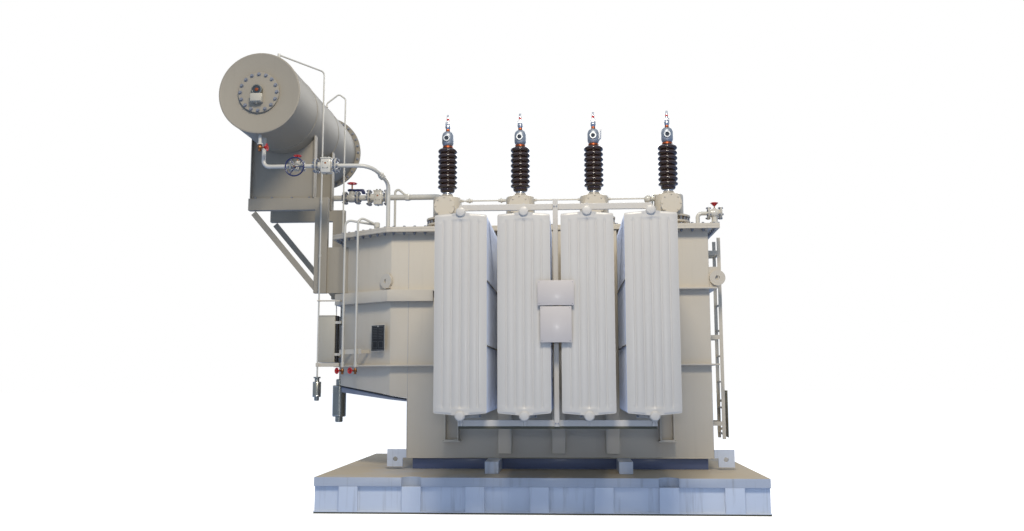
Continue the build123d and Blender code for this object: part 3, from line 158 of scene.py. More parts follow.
class PaintSettings(bpy.types.PropertyGroup):
    tank: paint_setting("Tank", "Paint of the tank and its fittings", 200, 189, 169)
    radiator: paint_setting("Radiators", "Paint of the radiators", 194, 188, 178)
    plinth: paint_setting("Plinth", "Paint of the plinth", 204, 210, 220)
    conservator: paint_setting("Conservator", "Paint of the conservator", 153, 144, 127)
    pipe: paint_setting("Pipes", "Paint of the pipes", 200, 195, 182)
    wheel: paint_setting("Handwheels", "Enamel of the small handwheels", 190, 22, 22)
    ring: paint_setting("Ring wheels", "Enamel of the large ring wheels", 28, 34, 78)
    dust: bpy.props.FloatProperty(
        name="Dust", description="Dust on what faces up", subtype="FACTOR", default=0.3, min=0, max=1
    )


class RadiatorSettings(bpy.types.PropertyGroup):
    width: length_setting("Panel width", "Width of one panel", 0.52, 0.2, 0.8)
    pitch: length_setting("Panel pitch", "From panel to panel", 0.046, 0.03, 0.1)
    count: count_setting("Panels", "Panels in one bank", 31, 4, 40)
    flutes: count_setting("Flutes", "Flutes across a panel", 6, 2, 10)
    flute_depth: length_setting("Flute depth", "How deep the grooves are", 0.005, 0, 0.02)


class BushingSettings(bpy.types.PropertyGroup):
    sheds: count_setting("Sheds", "Sheds on one porcelain", 8, 3, 20)
    shed_radius: length_setting("Shed radius", "Outer radius of a shed", 0.12, 0.05, 0.3)
    core_radius: length_setting("Core radius", "Radius between sheds", 0.092, 0.03, 0.2)


class FastenerSettings(bpy.types.PropertyGroup):
    across: length_setting("Across flats", "Size of a bolt's head", 0.026, 0.005, 0.1)
    cover_pitch: length_setting("Cover pitch", "From bolt to bolt", 0.125, 0.05, 0.5)


class StageSettings(bpy.types.PropertyGroup):
    key: bpy.props.FloatProperty(
        name="Overhead light", description="Power of the overhead light", subtype="POWER", default=690, min=0
    )
    front: bpy.props.FloatProperty(
        name="Front light", description="Power of the light by the camera", subtype="POWER", default=45, min=0
    )
    fill: bpy.props.FloatProperty(name="Fill", description="Light from all round", default=0.6, min=0, max=2)


class Value:
    """A node's output that plain arithmetic can be written with."""

    def __init__(self, graph, node, socket):
        self.graph = graph
        self.node = node
        self.socket = socket

    def out(self, name):
        return Value(self.graph, self.node, self.node.outputs[name])

    def feed(self, **named):
        """Gives the node's own inputs their values."""
        for name, value in named.items():
            self.graph.feed(self.node.inputs[name.replace("_", " ")], value)

    def math(self, operation, *others):
        return self.graph.add("ShaderNodeMath", {"operation": operation}, self, *others)

    def __add__(self, other):
        return self.math("ADD", other)

    def __sub__(self, other):
        return self.math("SUBTRACT", other)

    def __rsub__(self, other):
        return self.graph.add("ShaderNodeMath", {"operation": "SUBTRACT"}, other, self)

    def __mul__(self, other):
        return self.math("MULTIPLY", other)

    def __pow__(self, other):
        return self.math("POWER", other)

    def __gt__(self, other):
        return self.math("GREATER_THAN", other)

    def __abs__(self):
        return self.math("ABSOLUTE")

    __radd__ = __add__
    __rmul__ = __mul__

    def held(self):
        """Kept between 0 and 1."""
        return self.graph.add("ShaderNodeClamp", {}, self)


class Graph:
    """Adds nodes to one material or geometry tree."""

    def __init__(self, tree):
        self.tree = tree

    def feed(self, socket, value):
        if isinstance(value, Value):
            self.tree.links.new(value.socket, socket)
        elif value is not None:
            socket.default_value = value

    def add(self, kind, settings=None, *values, **named):
        node = self.tree.nodes.new(kind)
        for key, value in (settings or {}).items():
            setattr(node, key, value)
        for socket, value in zip(node.inputs, values):
            self.feed(socket, value)
        made = Value(self, node, node.outputs[0] if node.outputs else None)
        made.feed(**named)
        return made

    def noise(self, place, scale, detail=3, rough=0.5):
        return self.add("ShaderNodeTexNoise", {}, place, None, scale, detail, rough)

    def stretched(self, place, scale):
        return self.add("ShaderNodeMapping", {"vector_type": "POINT"}, place, None, None, scale)

    def mixed(self, factor, first, second):
        node = self.tree.nodes.new("ShaderNodeMix")
        node.data_type = "RGBA"
        for index, value in ((0, factor), (6, first), (7, second)):
            self.feed(node.inputs[index], (*value, 1) if isinstance(value, tuple) else value)
        return Value(self, node, node.outputs[2])

    def bumped(self, height, distance, strength=1.0, below=None):
        return self.add(
            "ShaderNodeBump", {}, Strength=strength, Distance=distance, Height=height, Normal=below
        )


def shade(colour, share):
    """The same colour, lighter or darker."""
    return tuple(min(c * share, 1) for c in colour)


def emptied(owner):
    """The graph of a material or a world, with no node in it yet."""
    owner.use_nodes = True
    owner.node_tree.nodes.clear()
    return Graph(owner.node_tree)


def blank_material(name):
    """A new material with its graph, its surface shader and the place on the object."""
    material = bpy.data.materials.new(name)
    graph = emptied(material)
    surface = graph.add("ShaderNodeBsdfPrincipled")
    graph.add("ShaderNodeOutputMaterial", {}, surface)
    return material, graph, surface, graph.add("ShaderNodeTexCoord").out("Object")


def facing_up(graph):
    """How far the surface faces up."""
    normal = graph.add("ShaderNodeNewGeometry").out("Normal")
    return graph.add("ShaderNodeSeparateXYZ", {}, normal).out("Z")


def paint(name, colour, roughness=0.36, dust=0.3, runs=0.3, wave=0.006, coat=0.3, dirt=(0.34, 0.29, 0.22)):
    """Sprayed enamel on sheet steel: slow tone changes, faint runs, dust on top and orange peel."""
    material, graph, surface, place = blank_material(name)
    cloud = graph.noise(place, 0.9, 4, 0.6)
    speck = graph.noise(place, 38, 4, 0.6)
    drip = graph.noise(graph.stretched(place, (7, 7, 0.45)), 2.1, 5, 0.62)
    up = facing_up(graph)
    level = (up * 1.5 - 0.6).held() * (cloud * 1.5 - 0.15).held()
    run = ((drip - 0.56) * 6).held() * (1 - abs(up)).held()
    tone = graph.mixed(cloud, shade(colour, 0.93), shade(colour, 1.05))
    tone = graph.mixed(run * (runs * 0.5), tone, (0.16, 0.14, 0.11))
    tone = graph.mixed((speck - 0.62).held() * 0.5, tone, shade(colour, 0.6))
    sheet = graph.noise(graph.stretched(place, (1.7, 1.7, 0.3)), 1.2, 2)
    peel = graph.noise(place, 210, 2)
    surface.feed(
        Base_Color=graph.mixed(level * dust, tone, dirt),
        Roughness=(roughness - 0.05 + speck * 0.1 + level * (dust * 0.5) + run * 0.06).held(),
        Coat_Weight=coat,
        Coat_Roughness=0.16,
        Normal=graph.bumped(peel, 0.0005, 0.35, graph.bumped(sheet, wave)),
    )
    return material


def metal(name, colour, roughness, grain, stain, relief=0.0004):
    """Bare metal with grain, stains and a slightly uneven surface."""
    material, graph, surface, place = blank_material(name)
    streak = graph.noise(graph.stretched(place, grain), 3, 4, 0.6)
    cloud = graph.noise(place, 9, 4, 0.6)
    tone = graph.mixed(streak, shade(colour, 0.78), shade(colour, 1.12))
    surface.feed(
        Base_Color=graph.mixed(((cloud - 0.5) * 3).held() * stain, tone, shade(colour, 0.35)),
        Roughness=(roughness - 0.08 + streak * 0.16 + cloud * 0.08).held(),
        Metallic=1,
        Normal=graph.bumped(streak, relief, 0.6),
    )
    return material


def glaze(name, colour):
    """Brown glazed porcelain, thinner and redder where the glaze has run."""
    material, graph, surface, place = blank_material(name)
    run = graph.noise(graph.stretched(place, (16, 16, 6)), 1.5, 4, 0.55)
    dust = graph.noise(place, 7, 5, 0.6)
    up = facing_up(graph)
    tone = graph.mixed(run, shade(colour, 0.6), shade(colour, 1.9))
    surface.feed(
        Base_Color=graph.mixed((up * 1.4 - 0.3).held() * dust * 0.2, tone, (0.12, 0.09, 0.065)),
        Roughness=(0.1 + run * 0.1 + (up - 0.3).held() * dust * 0.2).held(),
        Coat_Weight=0.6,
        Coat_Roughness=0.05,
        Normal=graph.bumped(run, 0.0012, 0.5),
    )
    return material


def enamel(name, colour, roughness=0.3, chips=0.35, coat=0.4):
    """Thick enamel on a casting, chipped here and there."""
    material, graph, surface, place = blank_material(name)
    cast = graph.noise(place, 90, 4, 0.6)
    chip = graph.noise(place, 34, 6, 0.7)
    worn = ((chip - 0.66) * 12).held() * chips
    tone = graph.mixed(cast, shade(colour, 0.85), shade(colour, 1.15))
    surface.feed(
        Base_Color=graph.mixed(worn, tone, (0.2, 0.18, 0.17)),
        Roughness=(roughness + cast * 0.1 + worn * 0.25).held(),
        Coat_Weight=coat,
        Coat_Roughness=0.1,
        Normal=graph.bumped(cast - worn * 0.5, 0.0009, 0.7),
    )
    return material


def rubber(name, colour):
    """Matt black rubber with a fine grain."""
    material, graph, surface, place = blank_material(name)
    cloud = graph.noise(place, 5, 3)
    surface.feed(
        Base_Color=graph.mixed(cloud, shade(colour, 0.8), shade(colour, 2.2)),
        Roughness=(0.45 + cloud * 0.25).held(),
        Normal=graph.bumped(graph.noise(place, 260, 3), 0.0004, 0.6),
    )
    return material


def sight_glass(name, colour):
    """Dark glass in front of a hollow."""
    material, graph, surface, place = blank_material(name)
    film = graph.noise(place, 14, 4)
    surface.feed(
        Base_Color=graph.mixed(film, shade(colour, 0.6), shade(colour, 1.6)),
        Roughness=film * 0.12,
        Coat_Weight=1,
        Coat_Roughness=0.02,
    )
    return material


FINISHES = {}
CLAY = (0.52, 0.42, 0.28)


def finish(name):
    return FINISHES[name]


def mix_finishes(colours):
    """Every finish of the transformer, by its plain name."""
    dust = colours.dust
    FINISHES.update({
        "tank": paint("tank_enamel", colours.tank, 0.4, dust, 0.12),
        "cover": paint("cover_enamel", colours.tank, 0.42, dust * 1.4),
        # A lighter, bluer copy of the radiator paint for the inner panels: painted bluish light in the shaded
        # gaps between panels.
        "panel": paint("inner_panel_shade_tint", chart(200, 209, 228), 0.4, dust * 0.4, 0.2, 0.0, 0.2),
        "radiator": paint("radiator_enamel", colours.radiator, 0.4, dust * 0.4, 0.08, 0.0, 0.12),
        "plinth": paint("plinth_enamel", colours.plinth, 0.42, dust, 0.6, 0.004),
        "deck": paint("deck_enamel", shade(colours.plinth, 0.72), 0.5, dust * 6, 0.6, 0.004, 0.1, CLAY),
        "conservator": paint("conservator_enamel", colours.conservator, 0.58, dust, 0.15, 0.003, 0.0),
        "pipe": paint("pipe_enamel", colours.pipe, 0.34, dust, 0.1, 0.0),
        "fitting": paint("fitting_enamel", shade(colours.pipe, 0.8), 0.4, dust, 0.2, 0.0),
        "board": paint("board_enamel", chart(191, 182, 174), 0.36, 0.1, 0.05, 0.0, 0.2),
        "cabinet": paint("cabinet_enamel", chart(180, 173, 156), 0.4, dust, 0.1, 0.002),
        "guard": paint("guard_enamel", chart(138, 132, 110), 0.5, dust, 0.4, 0.002, 0.1),
        "porcelain": glaze("brown_glaze", (0.02, 0.0085, 0.0055)),
        "aluminium": metal("cast_aluminium", chart(176, 180, 184), 0.44, (40, 40, 40), 0.15, 0.0009),
        "bright": metal("bright_steel", chart(205, 206, 208), 0.2, (80, 80, 12), 0.15, 0.0002),
        "zinc": metal("zinc_plate", chart(150, 152, 158), 0.5, (90, 90, 90), 0.15),
        "casting": enamel("casting_enamel", chart(198, 192, 178), 0.42, 0.1),
        "copper": metal("copper", chart(178, 96, 62), 0.34, (50, 50, 50), 0.5),
        "brass": metal("brass", chart(158, 108, 70), 0.4, (50, 50, 50), 0.45),
        "dark steel": metal("dark_steel", chart(158, 157, 146), 0.28, (14, 14, 120), 0.2, 0.0002),
        "red": enamel("red_enamel", colours.wheel),
        "navy": enamel("navy_enamel", colours.ring, 0.34),
        "black": enamel("black_enamel", (0.01, 0.01, 0.01), 0.6, 0.1, 0.0),
        # Darker bluish paint for the plate under the raised end: painted shade on the end's lower rim.
        "sill_painted_shade": enamel("sill_shade_enamel", chart(122, 128, 142), 0.5, 0.1, 0.1),
        "ivory": enamel("ivory_enamel", chart(104, 104, 102), 0.5, 0.1, 0.0),
        # Dark paint for the strip along the plinth's foot and for the strips under the lower tie bars, which
        # are painted shadow.
        "dark_edge": enamel("dark_edge_strip", chart(80, 78, 62), 0.7, 0.1, 0.0),
        # Dark blue paint for the sheets in front of the base beams' webs: painted shade between tank and
        # plinth.
        "web_shade": paint("web_painted_shade", chart(94, 105, 136), 0.45, dust, 0.3, 0.004, 0.1),
        "rubber": rubber("black_rubber", (0.012, 0.012, 0.013)),
        "glass": sight_glass("sight_glass", (0.02, 0.025, 0.03)),
        "amber": sight_glass("amber_beads", (0.3, 0.1, 0.02)),
    })


class Piece:
    """Gathers the shapes of one piece, in the object's own frame."""

    def __init__(self, name, finish_name, slot="tank_paint", body=BODY):
        self.name = name
        self.finish_name = finish_name
        self.slot = slot
        self.body = body
        self.shape = bmesh.new()

    def put(self, mesh, *places):
        """Copies of a mesh at each of the places."""
        for place in places:
            before = len(self.shape.verts)
            self.shape.from_mesh(mesh)
            self.shape.verts.ensure_lookup_table()
            bmesh.ops.transform(self.shape, matrix=place, verts=self.shape.verts[before:])

    def lathe(self, rows, place, steps=40):
        """A turned shape: (radius, height) rows round the place's own Z axis."""
        rings = []
        for radius, height in rows:
            count = steps if radius > 1e-6 else 1
            turn = [2 * math.pi * k / steps for k in range(count)]
            spots = [place @ Vector((radius * math.cos(a), radius * math.sin(a), height)) for a in turn]
            rings.append([self.shape.verts.new(spot) for spot in spots])
        for low, high in zip(rings, rings[1:]):
            for k in range(steps):
                j = (k + 1) % steps
                ring = (low[k % len(low)], low[j % len(low)], high[j % len(high)], high[k % len(high)])
                corners = list(dict.fromkeys(ring))
                if len(corners) > 2:
                    self.shape.faces.new(corners)

    def turned(self, rows, place, steps=40):
        """A turned shape with flat ends: its (radius, height) rows, closed on the axis."""
        self.lathe([(0, rows[0][1]), *rows, (0, rows[-1][1])], place, steps)

    def rod(self, radius, low, high, place, steps=40):
        """A plain round or many-sided bar."""
        self.turned([(radius, low), (radius, high)], place, steps)

    def disc(self, radius, low, high, place, edge=0.002, steps=40):
        """A round plate with softened edges."""
        rows = [(radius - edge, low), (radius, low + edge), (radius, high - edge), (radius - edge, high)]
        self.turned(rows, place, steps)

    def hoop(self, radius, thick, place, steps=44, sides=12):
        """A round bar bent into a ring about the place's own Z axis."""
        turns = [2 * math.pi * k / sides for k in range(sides + 1)]
        rows = [(radius + thick * math.cos(a), thick * math.sin(a)) for a in turns]
        self.lathe(rows, place, steps)

    def soften(self, edges, width, clamp=False):
        """Rounds edges off, if there is a width to round them by."""
        if width and edges:
            bmesh.ops.bevel(
                self.shape, geom=list(edges), offset=width, segments=2, profile=0.5, affect="EDGES",
                clamp_overlap=clamp,
            )

    def slab(self, low, high, edge=0.0, place=Matrix()):
        """A box between two corners, with softened edges."""
        low = Vector(low)
        high = Vector(high)
        size = high - low
        shape = place @ Matrix.Translation((low + high) / 2) @ Matrix.Diagonal((*size, 1))
        made = bmesh.ops.create_cube(self.shape, size=1, matrix=shape)
        self.soften({e for v in made["verts"] for e in v.link_edges}, edge)

    def prism(self, outline, depth, place, edge=0.0):
        """A plate with the outline's shape, standing up the place's own Z axis."""
        low = [self.shape.verts.new(place @ Vector((x, y, 0))) for x, y in outline]
        high = [self.shape.verts.new(place @ Vector((x, y, depth))) for x, y in outline]
        ends = [self.shape.faces.new(low[::-1]), self.shape.faces.new(high)]
        for k in range(len(low)):
            j = (k + 1) % len(low)
            self.shape.faces.new((low[k], low[j], high[j], high[k]))
        self.soften({e for face in ends for e in face.edges}, edge)

    def tube(self, points, radius, bend=0.0, steps=14, place=Matrix()):
        """A pipe along the points, with its corners bent."""
        line = bent([place @ Vector(p) for p in points], bend)
        side = (line[1] - line[0]).orthogonal().normalized()
        rings = []
        for k, spot in enumerate(line):
            ahead = (line[min(k + 1, len(line) - 1)] - line[max(k - 1, 0)]).normalized()
            side = (side - ahead * side.dot(ahead)).normalized()
            across = ahead.cross(side)
            turn = [2 * math.pi * i / steps for i in range(steps)]
            spots = [spot + radius * (side * math.cos(a) + across * math.sin(a)) for a in turn]
            rings.append([self.shape.verts.new(point) for point in spots])
        for low, high in zip(rings, rings[1:]):
            for i in range(steps):
                j = (i + 1) % steps
                self.shape.faces.new((low[i], low[j], high[j], high[i]))
        self.shape.faces.new(rings[0][::-1])
        self.shape.faces.new(rings[-1])

    def copy(self, node, edge):
        """A CAD node's solids, with the corners that are hard softened."""
        before = len(self.shape.faces)
        self.shape.from_mesh(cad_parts[node].data)
        self.shape.faces.ensure_lookup_table()
        faces = self.shape.faces[before:]
        verts = list({v for face in faces for v in face.verts})
        bmesh.ops.remove_doubles(self.shape, verts=verts, dist=0.00002)
        self.shape.faces.ensure_lookup_table()
        edges = list({e for face in self.shape.faces[before:] for e in face.edges})
        verts = list({v for e in edges for v in e.verts})
        bmesh.ops.dissolve_limit(self.shape, angle_limit=0.01, verts=verts, edges=edges)
        self.shape.faces.ensure_lookup_table()
        edges = {e for face in self.shape.faces[before:] for e in face.edges if len(e.link_faces) == 2}
        hard = [e for e in edges if e.calc_face_angle(0) > 0.6]
        self.soften(hard, edge, True)

    def done(self, *nodes, weld=0.0, crease=38):
        """Closes the piece: normals outwards, finish, body and the nodes that it stands for."""
        if weld:
            bmesh.ops.remove_doubles(self.shape, verts=self.shape.verts[:], dist=weld)
        bmesh.ops.recalc_face_normals(self.shape, faces=self.shape.faces[:])
        limit = math.radians(crease)
        for edge in self.shape.edges:
            edge.smooth = len(edge.link_faces) == 2 and edge.calc_face_angle(0) < limit
        for face in self.shape.faces:
            face.smooth = True
        mesh = bpy.data.meshes.new(self.name)
        self.shape.to_mesh(mesh)
        self.shape.free()
        mesh.materials.clear()
        mesh.materials.append(finish(self.finish_name))
        for polygon in mesh.polygons:
            polygon.material_index = 0
        piece = bpy.data.objects.new(self.name, mesh)
        bpy.context.scene.collection.objects.link(piece)
        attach(piece, self.body)
        if nodes:
            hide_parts(*nodes)


def bent(points, bend):
    """The middle line of a pipe, its corners turned into arcs."""
    if not bend:
        return points
    line = [points[0]]
    for before, corner, after in zip(points, points[1:], points[2:]):
        back = (before - corner).normalized()
        ahead = (after - corner).normalized()
        half = back.angle(ahead) / 2
        if half > math.pi / 2 - 0.01:
            continue
        reach = min(bend / math.tan(half), 0.49 * (before - corner).length, 0.49 * (after - corner).length)
        start = corner + back * reach
        end = corner + ahead * reach
        centre = corner + (back + ahead).normalized() * (reach / math.cos(half))
        radius = (start - centre).length
        first = (start - centre).normalized()
        last = (end - centre).normalized()
        steps = max(3, int(math.degrees(math.pi - 2 * half) / 11))
        for k in range(steps + 1):
            line.append(centre + radius * first.slerp(last, k / steps))
    line.append(points[-1])
    return line


def geometry_group(name, **inputs):
    """The graph of a new geometry tree, and its named inputs."""
    kinds = {int: "NodeSocketInt", float: "NodeSocketFloat", Vector: "NodeSocketVector"}
    group = bpy.data.node_groups.new(name, "GeometryNodeTree")
    group.interface.new_socket("Geometry", in_out="OUTPUT", socket_type="NodeSocketGeometry")
    group.interface.new_socket("Geometry", in_out="INPUT", socket_type="NodeSocketGeometry")
    for key, value in inputs.items():
        kind = kinds.get(type(value), "NodeSocketMaterial")
        socket = group.interface.new_socket(key.replace("_", " "), in_out="INPUT", socket_type=kind)
        if value is not None:
            socket.default_value = value
    graph = Graph(group)
    return graph, graph.add("NodeGroupInput")


def close_group(graph, geometry, given):
    """Ends a tree: real geometry with its finish."""
    real = graph.add("GeometryNodeRealizeInstances", {}, geometry)
    done = graph.add("GeometryNodeSetMaterial", {}, real, None, given.out("Finish"))
    graph.add("NodeGroupOutput", {}, done)
    return graph.tree


def grown(group, base=None, **inputs):
    """The plain mesh that a geometry tree makes from its inputs."""
    holder = bpy.data.objects.new("holder", base or bpy.data.meshes.new("holder"))
    bpy.context.scene.collection.objects.link(holder)
    modifier = holder.modifiers.new("grow", "NODES")
    modifier.node_group = group
    sockets = {item.name: item.identifier for item in group.interface.items_tree if item.in_out == "INPUT"}
    for key, value in inputs.items():
        modifier[sockets[key.replace("_", " ")]] = value
    depsgraph = bpy.context.evaluated_depsgraph_get()
    mesh = bpy.data.meshes.new_from_object(holder.evaluated_get(depsgraph))
    bpy.data.objects.remove(holder)
    return mesh


def cylinder(graph, sides, radius, depth, lift):
    """A bar standing on a height, inside a geometry tree."""
    bar = graph.add("GeometryNodeMeshCylinder", {}, sides, 1, 1, radius, depth)
    rise = graph.add("ShaderNodeCombineXYZ", {}, 0.0, 0.0, lift + depth * 0.5)
    return graph.add("GeometryNodeTransform", {}, bar, Translation=rise)


def fastener(graph, given):
    """A bolt's head on its washer, and a nut with its stud's end below the plates."""
    across = given.out("Across")
    under = given.out("Under") * -1
    bars = (
        (6, 0.577, 0.62, across * 0.12),
        (12, 0.86, 0.12, 0.0),
        (6, 0.577, 0.75, under - across * 0.87),
        (12, 0.86, 0.12, under - across * 0.12),
        (8, 0.3, 0.3, under - across * 1.17),
    )
    joined = graph.add("GeometryNodeJoinGeometry")
    for sides, radius, depth, lift in bars:
        bar = cylinder(graph, sides, across * radius, across * depth, lift)
        graph.tree.links.new(bar.socket, joined.node.inputs[0])
    return joined


def ring_tree():
    """Bolts on a circle."""
    graph, given = geometry_group(
        "bolt_ring", Count=16, Radius=0.2, Across=0.024, Under=0.0, Finish=None
    )
    circle = graph.add("GeometryNodeMeshCircle", {}, given.out("Count"), given.out("Radius"))
    rows = graph.add("GeometryNodeInstanceOnPoints", {}, circle, None, fastener(graph, given))
    return close_group(graph, rows, given)


def line_tree():
    """Bolts along the edges of the base mesh."""
    graph, given = geometry_group("bolt_line", Pitch=0.125, Across=0.024, Under=0.06, Finish=None)
    curve = graph.add("GeometryNodeMeshToCurve", {}, given.out("Geometry"))
    points = graph.add("GeometryNodeResampleCurve", {"mode": "LENGTH"}, curve, Length=given.out("Pitch"))
    rows = graph.add("GeometryNodeInstanceOnPoints", {}, points, None, fastener(graph, given))
    return close_group(graph, rows, given)


def bank_tree():
    """Copies of the base mesh along Y."""
    graph, given = geometry_group("panel_bank", Count=29, Pitch=0.046, Start=0.0, Finish=None)
    step = graph.add("ShaderNodeCombineXYZ", {}, 0.0, given.out("Pitch"), 0.0)
    start = graph.add("ShaderNodeCombineXYZ", {}, 0.0, given.out("Start"), 0.0)
    line = graph.add("GeometryNodeMeshLine", {}, given.out("Count"), None, start, step)
    rows = graph.add("GeometryNodeInstanceOnPoints", {}, line, None, given.out("Geometry"))
    return close_group(graph, rows, given)


def shed_tree():
    """A porcelain: a tube whose radius swells into sheds."""
    graph, given = geometry_group(
        "porcelain", Sheds=8, Core=0.092, Shed=0.12, Height=0.55, Foot=0.055, Finish=None
    )
    rows = given.out("Sheds") * 12 + 7
    grid = graph.add("GeometryNodeMeshGrid", {}, 1.0, 1.0, 57, rows)
    across = graph.add("ShaderNodeSeparateXYZ", {}, graph.add("GeometryNodeInputPosition"))
    turn = (across.out("X") + 0.5) * (2 * math.pi)
    rise = across.out("Y") + 0.5
    reach = (rise * 1.06 - 0.03) * given.out("Sheds")
    inside = (reach > 0) * (given.out("Sheds") > reach)
    wave = graph.add("ShaderNodeMath", {"operation": "SINE"}, reach * math.pi)
    swell = (abs(wave) ** 0.8) * (given.out("Shed") - given.out("Core")) * inside
    low = ((reach * -1 + 0.35) * 2.6).held()
    high = ((reach - given.out("Sheds") + 0.1) * 3).held()
    radius = given.out("Core") + swell - (low + high) * (given.out("Core") - given.out("Foot"))
    shut = (abs(across.out("Y")) > 0.4999) * 1.0
    radius = radius * (1 - shut)
    side = graph.add("ShaderNodeMath", {"operation": "COSINE"}, turn) * radius
    front = graph.add("ShaderNodeMath", {"operation": "SINE"}, turn) * radius
    spot = graph.add("ShaderNodeCombineXYZ", {}, side, front, rise * given.out("Height"))
    moved = graph.add("GeometryNodeSetPosition", {}, grid, Position=spot)
    merged = graph.add("GeometryNodeMergeByDistance", {}, moved, Distance=0.0002)
    return close_group(graph, merged, given)


MADE = {}


def once(maker, *settings):
    """What a maker gives for its settings, made only the first time."""
    key = (maker, settings)
    if key not in MADE:
        MADE[key] = maker(*settings)
    return MADE[key]


def bolt_circle(radius, count, across, under):
    """The mesh of a circle of bolts."""
    return grown(
        once(ring_tree), Count=count, Radius=radius, Across=across, Under=under, Finish=finish("zinc")
    )


def bolt_ring(piece, place, radius, count, across=0.024, under=0.0):
    """Puts a circle of bolts on a piece, heads up the place's own Z axis."""
    piece.put(once(bolt_circle, radius, count, across, under), place)


def bolt_loop(piece, points, place, pitch, across, under):
    """Puts bolts along a closed line of (x, y) points, heads up the place's own Z axis."""
    base = bpy.data.meshes.new("bolt_line_path")
    edges = [(k, (k + 1) % len(points)) for k in range(len(points))]
    base.from_pydata([(x, y, 0) for x, y in points], edges, [])
    piece.put(
        grown(once(line_tree), base, Pitch=pitch, Across=across, Under=under, Finish=finish("zinc")), place
    )


def groove(share, flutes):
    """How far the panel's skin stands out at a share of its width: 1 on a crown, 0 in a groove."""
    inside = share * flutes
    away = abs(inside - round(inside)) / flutes
    return min(max((away - 0.0155) / 0.0045, 0), 1)


def panel_columns(flutes):
    """Shares of the width where the skin bends."""
    marks = [0.0, 0.006, 0.014, 0.022]
    for k in range(1, flutes):
        marks += [
            k / flutes + side for side in (-0.021, -0.0195, -0.016, -0.0145, 0.0145, 0.016, 0.0195, 0.021)
        ]
    return marks + [0.978, 0.986, 0.994, 1.0]


def panel_ends(x, half, soft=0.016):
    """Heights of the panel's lower and upper edge at x: a low gable with rounded corners."""
    corner, peak = PANEL_TOP
    height = corner + (peak - corner) * (1 - abs(x) / half)
    past = abs(x) - (half - soft)
    if past > 0:
        height -= soft - math.sqrt(max(soft * soft - past * past, 0))
    return 2 * PANEL_MIDDLE - height, height


def panel_skin(x, z, low, high, settings):
    """How far the skin stands out from the panel's middle plane."""
    end = min(z - low, high - z)
    rim = min(end, settings.width / 2 - abs(x))
    body = min(max((rim - 0.006) / 0.01, 0), 1)
    share = x / settings.width + 0.5
    fade = min(max((end - 0.052) / 0.03, 0), 1)
    dip = (1 - groove(share, settings.flutes)) * fade if 0.03 <= share <= 0.97 else 0
    depth = PANEL_SEAM + body * (PANEL_SKIN - settings.flute_depth * dip - PANEL_SEAM)
    for height in HEADER_HEIGHTS:
        away = math.hypot(x, z - height)
        if away < BOSS_R:
            depth = max(depth, PANEL_SKIN + 0.01 * min((BOSS_R - away) / 0.02, 1))
    return depth


def pressed_panel(name, columns, profile):
    """A closed panel of two skins: at every column, profile gives (height, depth) rows."""
    shape = bmesh.new()
    rims = []
    for sign in (-1, 1):
        grid = [[shape.verts.new((x, sign * depth, z)) for z, depth in profile(x)] for x in columns]
        for left, right in zip(grid, grid[1:]):
            for k in range(len(left) - 1):
                shape.faces.new((left[k], right[k], right[k + 1], left[k + 1]))
        foot = [column[0] for column in grid]
        head = [column[-1] for column in grid]
        rims.append(foot + grid[-1][1:] + head[::-1][1:] + grid[0][::-1][1:-1])
    front, back = rims
    for k in range(len(front)):
        j = (k + 1) % len(front)
        shape.faces.new((front[k], front[j], back[j], back[k]))
    mesh = bpy.data.meshes.new(name)
    shape.to_mesh(mesh)
    shape.free()
    return mesh


def fluted_panel(settings):
    """A panel with flutes, a flat seam all round and a boss at each header."""
    steps = [
        0, 0.003, 0.006, 0.014, 0.022, 0.03, 0.038, 0.045, 0.052, 0.058, 0.064, 0.072, 0.082, 0.1, 0.115, 0.13
    ]

    def profile(x):
        low, high = panel_ends(x, settings.width / 2)
        heights = [low + s for s in steps] + [high - s for s in steps[::-1]]
        return [(z, panel_skin(x, z, low, high, settings)) for z in heights]

    columns = [(share - 0.5) * settings.width for share in panel_columns(settings.flutes)]
    return pressed_panel("fluted_panel", columns, profile)


def inner_panel(settings):
    """A panel inside the bank, of which only the edges show."""
    half = settings.width / 2

    def profile(x):
        low, high = panel_ends(x, half)
        thick = PANEL_SEAM if half - abs(x) < 0.01 else 0.0065
        depths = (PANEL_SEAM, PANEL_SEAM, thick, thick, PANEL_SEAM, PANEL_SEAM)
        return list(zip((low, low + 0.01, low + 0.024, high - 0.024, high - 0.01, high), depths))

    return pressed_panel(
        "inner_panel", [-half, -half + 0.009, -half + 0.02, 0, half - 0.02, half - 0.009, half], profile
    )


class TRANSFORMER_OT_paintwork(bpy.types.Operator):
    """Give every part of the frame its finish"""

    bl_idname = "transformer.paintwork"
    bl_label = "Paintwork"

    COATS = {
        "deck": "plinth_deck",
        "plinth": "plinth_side_beams plinth_cross_beams base_beams",
        "cover": "tank_cover tank_rim",
        "conservator": "conservator_shell conservator_covers saddles support_frames",
        "radiator": "tie_frames",
        "pipe": "main_pipe tap_pipe gas_pipe breather_pipes drain_tubes vent_valve conservator_drain",
        "fitting": "pipe_valves gas_relays",
        "porcelain": "hv_insulators lv_bushings",
        "aluminium": "hv_caps",
        "board": "sign_boards",
        "black": "nameplate",
        "cabinet": "control_cabinet level_gauge",
        "rubber": "conduits",
        "dark steel": "breathers",
        "guard": "ladder_guard",
        "navy": "tap_ring_wheel main_valve_lever",
    }

    def execute(self, context):
        mix_finishes(context.scene.transformer_paint)
        coats = {node: coat for coat, nodes in self.COATS.items() for node in nodes.split()}
        for name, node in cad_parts.items():
            wanted = coats.get(name, "tank")
            if name.startswith("radiator_"):
                wanted = "radiator"
            elif name.endswith("_wheel") and name not in coats or name.startswith("drain_wheel"):
                wanted = "red"
            node.data.materials.clear()
            node.data.materials.append(finish(wanted))
        return {"FINISHED"}


